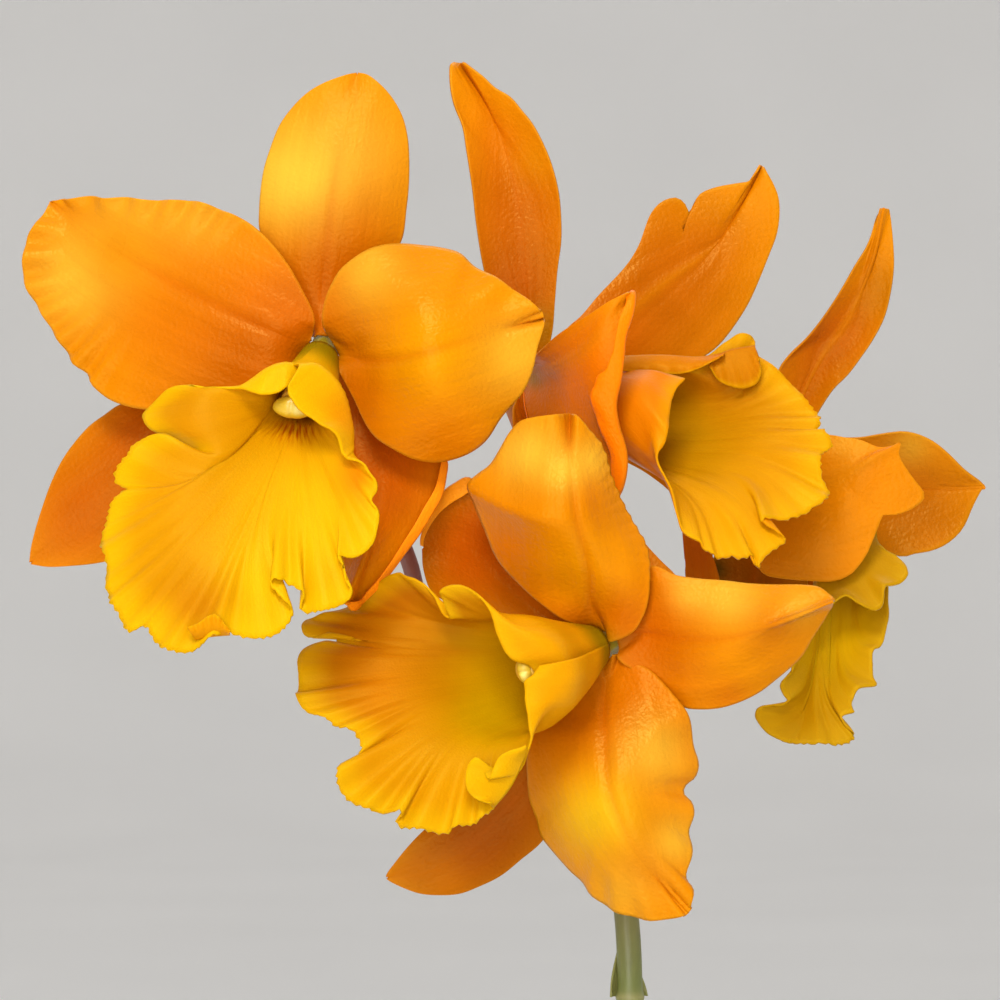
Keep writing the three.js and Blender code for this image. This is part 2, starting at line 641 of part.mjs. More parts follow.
    lip: [
      { turn: -4, limb: [11, -34.5, 32.5], depth: 31.5, margin: [[7.2, -35]] },
      { turn: 16, limb: [9.3, -30, 33.8], depth: 33, margin: [[5.6, -33.1], [2.4, -32]] },
      { turn: 44, limb: [4, -25.6, 33.5], depth: 33, margin: [[0.2, -29], [-1, -26.5], [-1.5, -24.3]] },
      { turn: 66, limb: [-1.5, -22.3, 30], depth: 32, margin: [[-3, -20.5], [-6, -18], [-10, -17]] },
      { turn: 86, limb: [-6, -23.5, 27], depth: 28, margin: [[-12.3, -18.3], [-10.5, -22.6]] },
      { turn: 105, limb: [-9, -23, 25], depth: 25, margin: [[-12.3, -21], [-15.5, -16.8], [-17.5, -15.5]] },
      { turn: 125, limb: [-15, -23.5, 20.5], depth: 15.5, margin: [[-22, -14.7], [-28, -19]] },
      { turn: 145, limb: [-21, -27.5, 21], depth: 15.5, margin: [[-34, -22.7], [-39.8, -25]] },
      { turn: 163, limb: [-21, -32.5, 24], depth: 22, margin: [[-38.5, -27.4], [-36.3, -28.1],
        [-40.8, -32]] },
      { turn: 180, limb: [-19, -37, 26], depth: 28, margin: [[-40.7, -37.5], [-40.5, -40.8]] },
      { turn: 200, limb: [-15, -41.5, 28], depth: 33, margin: [[-35, -44], [-30, -46.2], [-28.3, -50]] },
      { turn: 220, limb: [-13, -47, 31], depth: 37, margin: [[-32.5, -53.3], [-32.8, -57.5],
        [-28.5, -61.8]] },
      { turn: 242, limb: [-7, -50, 33], depth: 39, margin: [[-20, -63], [-20.3, -65.6], [-14, -66.7]] },
      { turn: 264, limb: [0, -49.5, 33], depth: 39, margin: [[-9, -66], [-4, -64.5], [-1, -61]] },
      { turn: 288, limb: [6, -46.7, 32.5], depth: 38, margin: [[1.7, -58], [4.8, -53]] },
      { turn: 320, limb: [9.8, -41, 34.5], depth: 35.5, margin: [[6, -47.5], [5.3, -43]] },
      { turn: 345, limb: [10.9, -36.4, 35], depth: 35, margin: [[4.5, -39], [4.8, -36.6]] },
      { turn: 364, limb: [10.6, -32.6, 35.5], depth: 34.5, margin: [[6.2, -35.3], [7.8, -33.2]] },
    ],
  },
  {
    centre: [7, 24, -20],
    columnTip: [28, 16.5, -4],
    facing: [0.78, -0.25, 0.57],
    tepals: {
      dorsal_sepal: {
        sepal: true,
        turn: 0,
        tip: [-8, 87.6, -30],
        rib: [[6, 35, -21], [4.5, 48, -22], [3, 62, -24], [-1, 76, -27]],
        left: [[2, 30], [-1, 38], [-3.5, 47], [-5.5, 62], [-7.5, 75], [-10, 83], [-10, 86.7]],
        right: [[9.6, 30], [11, 40], [12.2, 51.5], [11.7, 61.5], [9, 70.5], [4.5, 77.8], [-1, 82.5],
          [-5, 86.1]],
        rise: { left: [0, 1, 2, 1, 0], right: [0, 1, 2, 1, 0] },
      },
      petal_left: {
        turn: 60,
        tip: [26.6, 41.4, 8],
        rib: [[7, 25.8, -10.5], [10.5, 26.5, -1], [16, 29, 7.5], [20, 33, 11], [24, 37.5, 11]],
        left: [[7.6, 29.4], [11, 32.6], [16, 36], [22, 39.8]],
        right: [[5.6, 17], [8.6, 8], [15, 1], [21, -1], [25, 5], [24.8, 11.5], [23.2, 18], [23.9, 25],
          [24.7, 33.5],
          [26.4, 39]],
        rise: { left: [0, 0, 0, 0, 0], right: [0, 4, 5, 2, 0] },
      },
      petal_right: {
        turn: 300,
        tip: [52.3, 67, -36],
        rib: [[16, 30.5, -24], [25, 37, -28], [33, 43.5, -31], [43, 51, -34], [49, 59, -36]],
        left: [[10.5, 31], [14, 34.8], [19.8, 41], [26.5, 48.7], [30, 57], [33.5, 60.2], [37, 59.2],
          [38.2, 57],
          [40, 61.2], [47, 63.3], [50.8, 64.5]],
        right: [[15, 25.5], [25, 26], [36, 27], [43, 30.3], [49.5, 39], [54, 49.5], [55.9, 57], [54.3, 64]],
        rise: { left: [0, 1, 2, 2, 0], right: [0, 1, 2, 1, 0] },
      },
      lateral_sepal_left: {
        sepal: true,
        turn: 120,
        tip: [38.5, -21, -4],
        rib: [[5.2, 14, -17], [10, 4, -13], [19, -5.5, -9], [29, -14, -5]],
        left: [[7.6, 17], [12.5, 10.5], [19, 3.5], [25, -3], [29, -8.7], [32, -12], [35.3, -15.3]],
        right: [[2.5, 16], [3.5, 6], [9, -5], [18, -13], [27, -20], [34, -22.5]],
        rise: { left: [0, -1, -2, -1, 0], right: [0, -1, -2, -1, 0] },
      },
      lateral_sepal_right: {
        sepal: true,
        turn: 240,
        tip: [41, -25, -36],
        rib: [[16, 18, -25], [27, 11.5, -30], [36, 3, -33], [40.5, -11, -35]],
        left: [[19, 21.5], [31, 17.5], [40, 9], [43.3, -3], [42.5, -11.5], [43.8, -16]],
        right: [[14, 15], [22, 9.5], [30, 5], [35.5, 0], [37.3, -7.5], [37.3, -16]],
        rise: { left: [0, -1, -2, -1, 0], right: [0, -1, -2, -1, 0] },
      },
    },
    tube: { centre: [18.8, 19.6, -12], radius: 7.2 },
    throat: { centre: [30.4, 16.5, -3], radius: 11 },
    lip: [
      { turn: 15, limb: [33.5, 25.2, 1], depth: 3, margin: [[37.2, 24.2]] },
      { turn: 55, limb: [31, 17, 8], depth: 9, margin: [[35.3, 22], [34.3, 19], [33.8, 14]] },
      { turn: 98, limb: [30.5, 8.5, 7], depth: 11, margin: [[33, 11], [31.5, 8.5], [33.3, 4]] },
      { turn: 128, limb: [33.7, 3.5, 5], depth: 11, margin: [[34.5, 2], [35.2, -2.5], [35.8, -4.5]] },
      { turn: 158, limb: [39.5, -1, 4], depth: 11, margin: [[38.5, -8], [40.8, -9.5], [44, -12]] },
      { turn: 180, limb: [45, 0, 4], depth: 12, margin: [[46.5, -11.5], [50, -12], [51.8, -14]] },
      { turn: 200, limb: [49, 3, 2], depth: 10, margin: [[55.5, -10], [57, -8.8], [52.8, -4.7]] },
      { turn: 220, limb: [52, 7, 0], depth: 5, margin: [[58, -4], [63, -2], [66, 0]] },
      { turn: 240, limb: [53, 12, -2], depth: 0, margin: [[65.2, 4.5], [64.8, 9], [67, 10.8]] },
      { turn: 260, limb: [52, 17, -5], depth: -4, margin: [[65.3, 13.9], [64.5, 16.5], [63, 18.7]] },
      { turn: 285, limb: [48, 21, -7], depth: -8, margin: [[58, 24], [52, 29]] },
      { turn: 312, limb: [41.5, 24.5, -6], depth: -8, margin: [[51, 31.8], [48, 33.5], [43, 30]] },
      { turn: 345, limb: [34, 27.5, -4], depth: -4, margin: [[39, 27.8], [34, 28.3]] },
    ],
  },
  {
    centre: [54, 8, -46],
    columnTip: [66, -4.5, -37],
    facing: [0.66, -0.62, 0.42],
    tepals: {
      dorsal_sepal: {
        sepal: true,
        turn: 0,
        tip: [76.8, 58.5, -44],
        rib: [[59, 18, -47], [64, 28, -47], [70, 37, -46], [74.5, 48, -45]],
        left: [[53.5, 15], [54, 21], [58, 29], [63.5, 35], [68.5, 42.5], [73.5, 51], [75.3, 56]],
        right: [[62, 15], [66.5, 22], [72, 28.3], [76.8, 36.5], [78.8, 47], [78.4, 55.5]],
        rise: { left: [0, 1, 2, 1, 0], right: [0, 1, 2, 1, 0] },
      },
      petal_left: {
        turn: 60,
        tip: [85, 1, -19],
        rib: [[55, 7.5, -36], [58.5, 3, -27.5], [67, -1, -23], [77, 0.5, -20]],
        left: [[58, 9.5], [63, 12.8], [69, 12.7], [76, 10.5], [80.3, 8], [82, 5]],
        right: [[51.5, 2], [49, -7], [51.8, -13.8], [57, -15.9], [66.5, -16.3], [73.3, -11], [76, -4],
          [81, -2.6]],
        rise: { left: [0, -1, -2, -1, 0], right: [0, 1, 2, 1, 0] },
      },
      petal_right: {
        turn: 300,
        tip: [97.3, 2.5, -54],
        rib: [[62, 8, -51.5], [74, 4, -52.5], [85, 2, -54]],
        left: [[61.5, 12.5], [72, 12.5], [81, 13.7], [87, 11.5], [93, 6]],
        right: [[61.5, 4.5], [68, -6], [76, -9.7], [80.5, -11.3], [86, -10.2], [91.5, -7], [95, 0]],
        rise: { left: [0, 1, 3, 2, 0], right: [0, 1, 3, 2, 0] },
      },
      lateral_sepal_left: {
        sepal: true,
        turn: 142,
        tip: [50, -31, -44],
        rib: [[52, -3, -51], [51, -15, -50], [50.5, -24, -47]],
        left: [[54, 1], [57, -9], [57, -18], [54, -26]],
        right: [[50, 0], [46, -7], [44.5, -15], [46, -23]],
        rise: { left: [0, 1, 1, 0], right: [0, 1, 1, 0] },
      },
      lateral_sepal_right: {
        sepal: true,
        turn: 240,
        tip: [66, -34, -54],
        rib: [[60, -4, -51], [64, -15, -53], [66, -26, -54]],
        left: [[63, 2], [69, -9], [72, -20], [70, -29]],
        right: [[57.5, -3], [59, -13], [61, -24]],
        rise: { left: [0, 0, 0, 0], right: [0, 0, 0, 0] },
      },
    },
    tube: { centre: [60.5, 1.6, -41], radius: 6.5 },
    throat: { centre: [67.5, -6, -36.5], radius: 8.5 },
    lip: [
      { turn: 15, limb: [75, -7, -31], depth: -30, margin: [[75.5, -8.8]] },
      { turn: 42, limb: [75, -10.5, -28], depth: -25, margin: [[77, -10], [80, -11.7], [81.5, -13.5]] },
      { turn: 70, limb: [73, -14.5, -26], depth: -22, margin: [[81.6, -15.3], [79.5, -17], [77.2, -17.5]] },
      { turn: 95, limb: [68, -17.5, -25], depth: -21, margin: [[73.5, -20], [69, -20.5]] },
      { turn: 120, limb: [63, -21, -25], depth: -20, margin: [[62, -26], [58.2, -33.5]] },
      { turn: 150, limb: [62.5, -27, -25], depth: -19, margin: [[55.9, -37], [56.5, -39.8],
        [51.2, -41.8]] },
      { turn: 172, limb: [63.5, -30, -26], depth: -18, margin: [[51.2, -44.5], [54.5, -47.5],
        [58, -48.8]] },
      { turn: 192, limb: [66, -30, -27], depth: -18, margin: [[63, -49.4], [68.5, -49.3]] },
      { turn: 212, limb: [69, -27, -29], depth: -20, margin: [[71, -48.2], [68.6, -44.2], [71.2, -42.7]] },
      { turn: 236, limb: [71.5, -23, -31], depth: -23, margin: [[70.4, -40], [75.5, -37]] },
      { turn: 262, limb: [73.5, -18, -34], depth: -28, margin: [[74.7, -33], [76.8, -28.5]] },
      { turn: 292, limb: [75, -13, -36], depth: -32, margin: [[77.8, -22], [77.6, -18.5]] },
      { turn: 345, limb: [75.3, -8.2, -35], depth: -33, margin: [[77, -14], [76, -10.5]] },
    ],
  },
];

// A bloom's own frame, as seen: ahead along its axis, toward its dorsal sepal, and across.
function bloomFrame(bloom) {
  const centre = point(bloom.centre);
  const ahead = point(bloom.facing).normalize();
  const dorsal = point(bloom.tepals.dorsal_sepal.tip).sub(centre);
  dorsal.addScaledVector(ahead, -dorsal.dot(ahead)).normalize();
  const across = ahead.clone().cross(dorsal);
  return {
    // turn is in radians from the dorsal side, and out is the distance from the axis.
    at(turn, out, forward, from = centre) {
      const side = dorsal.clone().multiplyScalar(out * Math.cos(turn));
      return side.addScaledVector(across, out * Math.sin(turn)).addScaledVector(ahead, forward).add(from);
    },
  };
}

// A petal or sepal: a rib from base to tip with an edge on each side.
function tepalSurface(frame, tepal) {
  const tip = point(tepal.tip);
  const turn = radians(tepal.turn);
  const base = frame.at(turn, TEPAL.baseRadius, tepal.sepal ? TEPAL.sepalAhead : TEPAL.petalAhead);
  const side = frame.at(turn + Math.PI / 2, 1, 0, vec());
  const rib = splineThrough([base, ...tepal.rib.map(point), tip]);
  const toLeft = Math.sign(point(tepal.left[0]).sub(point(tepal.right[0])).dot(side));
  const edge = (name, half) => {
    const start = base.clone().addScaledVector(side, half);
    return splineThrough([start, ...tepal[name].map(point), tip.clone()]);
  };
  const halfWidth = 0.5 * TEPAL.baseWidth * toLeft;
  const edges = { left: edge('left', halfWidth), right: edge('right', -halfWidth) };
  const edgeAt = (name, along) => {
    const depth = rib.getPointAt(along).z + between(tepal.rise[name], along);
    const found = edges[name].getPointAt(along);
    const settled = THREE.MathUtils.smoothstep(along, 0, 0.12);
    return found.setZ(THREE.MathUtils.lerp(edges[name].points[0].z, depth, settled));
  };
  return (across, along) => {
    const reach = TIP_REACH * along;
    const left = edgeAt('left', reach);
    const right = edgeAt('right', reach);
    const middle = rib.getPointAt(reach);
    const leftSpan = left.distanceTo(middle);
    const ribAt = leftSpan / (leftSpan + middle.distanceTo(right));
    const share = across < 0.5 ? 2 * across * ribAt : ribAt + (2 * across - 1) * (1 - ribAt);
    const ofLeft = ((share - ribAt) * (share - 1)) / ribAt;
    const ofMiddle = (share * (share - 1)) / (ribAt * (ribAt - 1));
    const ofRight = (share * (share - ribAt)) / (1 - ribAt);
    left.multiplyScalar(ofLeft).addScaledVector(middle, ofMiddle).addScaledVector(right, ofRight);
    return seen(left);
  };
}

// The lip: rings round the bloom's axis from its foot through the tube and throat to the limb and the
// ruffled margin. Each entry of the lip's list is a spoke, and holds the stretch of margin that leads up to
// it. The last side lobe laps over the first one above the column.
function lipSurface(bloom, frame) {
  const turns = bloom.lip.map((spoke) => radians(spoke.turn));
  const foot = turns.map((turn) => frame.at(turn, LIP.footRadius, LIP.footAhead));
  const roundAbout = ({ centre, radius }) => turns.map((turn) => {
    const outside = LIP.overlap * (turn / Math.PI - 1);
    return frame.at(turn, radius + outside, 0, point(centre));
  });
  const margin = [];
  const spokeAt = [];
  bloom.lip.forEach((spoke, k) => {
    const before = bloom.lip[Math.max(k - 1, 0)].depth;
    spoke.margin.forEach(([x, z], n) => {
      margin.push(vec(x, z, THREE.MathUtils.lerp(before, spoke.depth, (n + 1) / spoke.margin.length)));
    });
    spokeAt.push(margin.length - 1);
  });
  const limb = bloom.lip.map((spoke) => point(spoke.limb));
  const curves = [foot, roundAbout(bloom.tube), roundAbout(bloom.throat), limb].map(splineThrough);
  const marginCurve = splineThrough(margin);
  return (across, along) => {
    const place = across * (turns.length - 1);
    const low = Math.min(Math.floor(place), turns.length - 2);
    const marginPlace = THREE.MathUtils.lerp(spokeAt[low], spokeAt[low + 1], place - low);
    const points = curves.map((curve) => curve.getPoint(across));
    points.push(marginCurve.getPoint(marginPlace / (margin.length - 1)));
    return seen(splineThrough(points).getPointAt(along));
  };
}

function columnGeometry(bloom, frame) {
  const foot = frame.at(0, 0, COLUMN.ahead);
  const tip = point(bloom.columnTip);
  const bend = foot.clone().lerp(tip, 0.5).add(frame.at(Math.PI, COLUMN.bend, 0, vec()));
  const { footRadius, waistRadius, tipRadius } = COLUMN;
  const radii = [footRadius, waistRadius, waistRadius, tipRadius, 0.5 * tipRadius];
  return rod([foot, bend, tip].map(seen), radii, 8, 7);
}

// Assembly

add('pot', potGeometry(), COLOURS.terracotta, 0.85);
add('rhizome', geometryOfSolid(rhizomeSolid(0)), COLOURS.root, 0.8);
add('bark', geometryOfSolid(barkSolid([rhizomeSolid(GAP)])), COLOURS.bark, 0.95);
BULBS.forEach((bulb, k) => add(`pseudobulb_${k + 1}`, bulbGeometry(bulb), COLOURS.bulb, 0.5));
LEAVES.forEach((leaf, k) => {
  const shape = blade(leafSurface(leaf), LEAF.columns, LEAF.rows, LEAF.thick);
  add(`leaf_${k + 1}`, shape, COLOURS.leaf, 0.4);
});
add('flower_stem', stemGeometry(), COLOURS.stem, 0.5);
add('sheath', blade(sheathSurface(), SHEATH.columns, SHEATH.rows, SHEATH.thick), COLOURS.sheath, 0.7);

BLOOMS.forEach((bloom, k) => {
  const frame = bloomFrame(bloom);
  for (const [name, tepal] of Object.entries(bloom.tepals)) {
    const shape = blade(tepalSurface(frame, tepal), TEPAL.columns, TEPAL.rows, TEPAL.thick);
    add(`bloom_${k + 1}_${name}`, shape, COLOURS.petal, 0.5);
  }
  const lip = blade(lipSurface(bloom, frame), LIP.columns, LIP.rows, LIP.thick);
  add(`bloom_${k + 1}_lip`, lip, COLOURS.lip, 0.5);
  add(`bloom_${k + 1}_column`, columnGeometry(bloom, frame), COLOURS.column, 0.5);
});

export default orchid;
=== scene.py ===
"""Potted rhyncattleanthe orchid: a head of four orange blooms with ruffled yellow lips over a plain pot of bark.

Shapes are worked out in millimetres in the row frame and become metres when their mesh is made. The outlines of
the blooms are as seen from the front: x to the right and z up from the middle of the head, and d toward the viewer.
"""

import math

import bpy
import numpy as np
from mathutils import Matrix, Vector


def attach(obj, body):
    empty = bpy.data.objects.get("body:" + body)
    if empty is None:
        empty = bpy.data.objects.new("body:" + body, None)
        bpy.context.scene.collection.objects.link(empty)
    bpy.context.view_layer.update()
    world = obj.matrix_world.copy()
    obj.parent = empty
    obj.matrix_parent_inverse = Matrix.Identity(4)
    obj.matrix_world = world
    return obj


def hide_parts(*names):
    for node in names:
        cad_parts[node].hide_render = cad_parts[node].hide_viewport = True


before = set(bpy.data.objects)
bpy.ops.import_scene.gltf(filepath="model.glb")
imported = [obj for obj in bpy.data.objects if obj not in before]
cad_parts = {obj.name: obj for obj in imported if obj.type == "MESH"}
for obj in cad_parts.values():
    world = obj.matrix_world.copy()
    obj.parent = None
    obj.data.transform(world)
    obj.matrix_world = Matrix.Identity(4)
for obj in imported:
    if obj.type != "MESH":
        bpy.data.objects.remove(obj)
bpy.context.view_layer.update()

# Named sizes, in millimetres
VIEW_DISTANCE = 900
VIEW_HEIGHT = 460
VIEW_FRONT = -20
MM = 0.001
TEPAL_BASE_RADIUS = 3.5
TEPAL_BASE_WIDTH = 3
SEPAL_AHEAD = -1.6
PETAL_AHEAD = 0.2
LIP_FOOT_RADIUS = 3.9
LIP_FOOT_AHEAD = 1.8
LIP_OVERLAP = 1
POT_HEIGHT = 130
RHIZOME_HEIGHT = 121
KNOB_TOP = 128
GAP = 0.3
TEPAL_REACH = 0.992
TEPAL_ROWS = 100
TEPAL_COLUMNS = 45
LIP_REACH = 0.995
LIP_ROWS = 44
PETAL_TONE = (0.67, 0.645, 0.13)
LIP_TONE = (0.67, 0.625, 0.2)
COLUMN_AHEAD = 2.1
COLUMN_BEND = 0.6
COLUMN_RADII = [2.2, 2.6, 2.6, 3.3, 2.9]
RHIZOME_HALF = 52
BULB_LEAN = 0.13
BULB_FOOT = 6
BULB_NECK = 6.6
FURROWS = 7
FURROW_DEPTH = 0.07
BULBS = [(-44, 3, 60, 9.5), (-22, -4, 72, 10.2), (0, 5, 86, 10.6), (22, 2, 100, 11), (44, -3, 82, 10.4)]
STEM_BULB = BULBS[3]
LEAF_REACH = 0.985
LEAF_BASE = 8
LEAF_KEEL = 5
LEAF_BESIDE = (7.9, -2)
LEAF_ON_TOP = (3.3, 1.6)
# Each leaf: its pseudobulb, then its heading, length, width, and its slope at base and tip, in degrees
LEAVES = [(0, 176, 150, 44, 62, 12), (1, 232, 150, 44, 58, 4), (2, 118, 165, 46, 64, 14), (2, 286, 150, 42, 50, 0),
          (3, 72, 165, 46, 60, 18), (3, 318, 160, 44, 56, 2), (4, 8, 160, 46, 60, 10)]
STEM_RADII = [3.3, 3.0, 2.6, 2.4]
STEM_NODES = [0.42, 0.7]
SHEATH_RADIUS = 4.7
SHEATH_BULGE = 1.6
SHEATH_HEIGHT = 74
SHEATH_WRAP = 152
PEDICEL_RADII = [1.7, 1.7, 1.7, 1.7, 2.5, 2.5, 2.9]
OVARY_AHEAD = 1.4
POT_FOOT = 50
POT_BAND = 20
POT_WALL = 4
POT_FLOOR = 5
POT_RIM = 72
POT_BAND_OUT = 3
POT_SLOPE = (POT_RIM - POT_BAND_OUT - POT_FOOT) / POT_HEIGHT
DRAIN_RADIUS = 6
DRAIN_FROM_AXIS = 27
DRAINS = 3
DRAIN_STEP = 2.0944
CHIPS = 330
CHIP_SIDES = 12
COLUMN_STEPS = 44
STEM_STEPS = 150
STALK_STEPS = 90
STALK_SIDES = 30
GROUND_SIDES = 96
GOLDEN_ANGLE = 2.39996
GREEN_SIZE = 3.6
BULB_YOUTH = (0.35, 0.5, 0.75, 1.0, 0.85)
BARK_TOP = 117
BARK_BOTTOM = 6

# Each stalk as seen, from the stem to behind its bloom, and how far behind the bloom its ovary starts
PEDICELS = [
    ([(21.9, -57, -32), (10, -47, -27), (-5, -35, -21), (-15, -23, -15), (-18.3, -12, -10), (-25, 4, -7)], 15),
    ([(22, -54, -32), (25.5, -48, -24), (29.5, -38, -12)], 11),
    ([(21.6, -49, -31), (18, -32, -32), (11, -8, -33), (6.6, 10, -32)], 7),
    ([(21.8, -51.5, -31), (30, -40, -42), (40, -26, -55), (45, -12, -61)], 10),
]

# The blooms. facing is the way the bloom looks, stalk the colour of its stalk, cap the size of its anther cap, foot
# the radius of the lip's foot, and green the size of the green patch where the tepals meet.
# A tepal's edge is as deep as its rib at the same share of the length, plus the edge's rise. paint is a list of soft
# patches on the face: x, z, size, colour and strength; the patches are the tepal's own colour, painted highlights (the
# peach and other bright patches) and painted shade (the darker oranges, reds and browns). ripple is a list of waves
# along an edge: the side, where they start and end along it, how high they are, and how many. turned is an edge that
# is turned over: the side, the widths from base to tip, and the colour.
# tube and throat are the middle and radius of two rings of the lip, and shapes is how far each ring keeps its radius
# round the axis. waves is the height and number of the waves along the margin, folds the height of the wide folds,
# ruffles a list of stronger waves (start, end, height, number) and fringe the start and end of the teeth. streaks is
# the place and size of the streaks in the throat. fold is a list of parts of the margin folded over the face: the
# fold, the free edge, their depths with the bulge between, and the colour. lip is a list of spokes: the turn from
# the dorsal side, a point on the limb, the margin's depth, and the margin up to there from the spoke before.
# lip_paint is a list of soft patches like paint: the lip's own colour, painted light (the brighter yellows) and
# painted shade (the ochres and the darker oranges). deep is the throat's colour toward the foot; in bloom 2 it is
# lighter than the lip, painted light in the shade of its tube.

# The peach colour is a painted highlight. DEEP is the tepals' own deeper orange toward their bases, and in the paint
# lists and along grooves it is also painted shade; RED is painted shade on the sepals. The ochre is painted shade on
# bloom 1's lip, and the lemon there is painted light as well as the lip's own pale yellow.
HIGHLIGHT_PEACH = (255, 212, 138)
GOLD = (247, 152, 6)
ORANGE = (232, 126, 2)
DEEP = (214, 94, 1)
RED = (188, 62, 2)
GREEN = (128, 132, 8)
LEMON = (255, 206, 12)
SUN = (248, 180, 4)
SHADE_OCHRE = (212, 134, 4)
BRICK = (150, 34, 2)
WIDE_TUBE = ((1, 1, 0.9, 1, 1), (1, 0.95, 0.85, 0.95, 1))

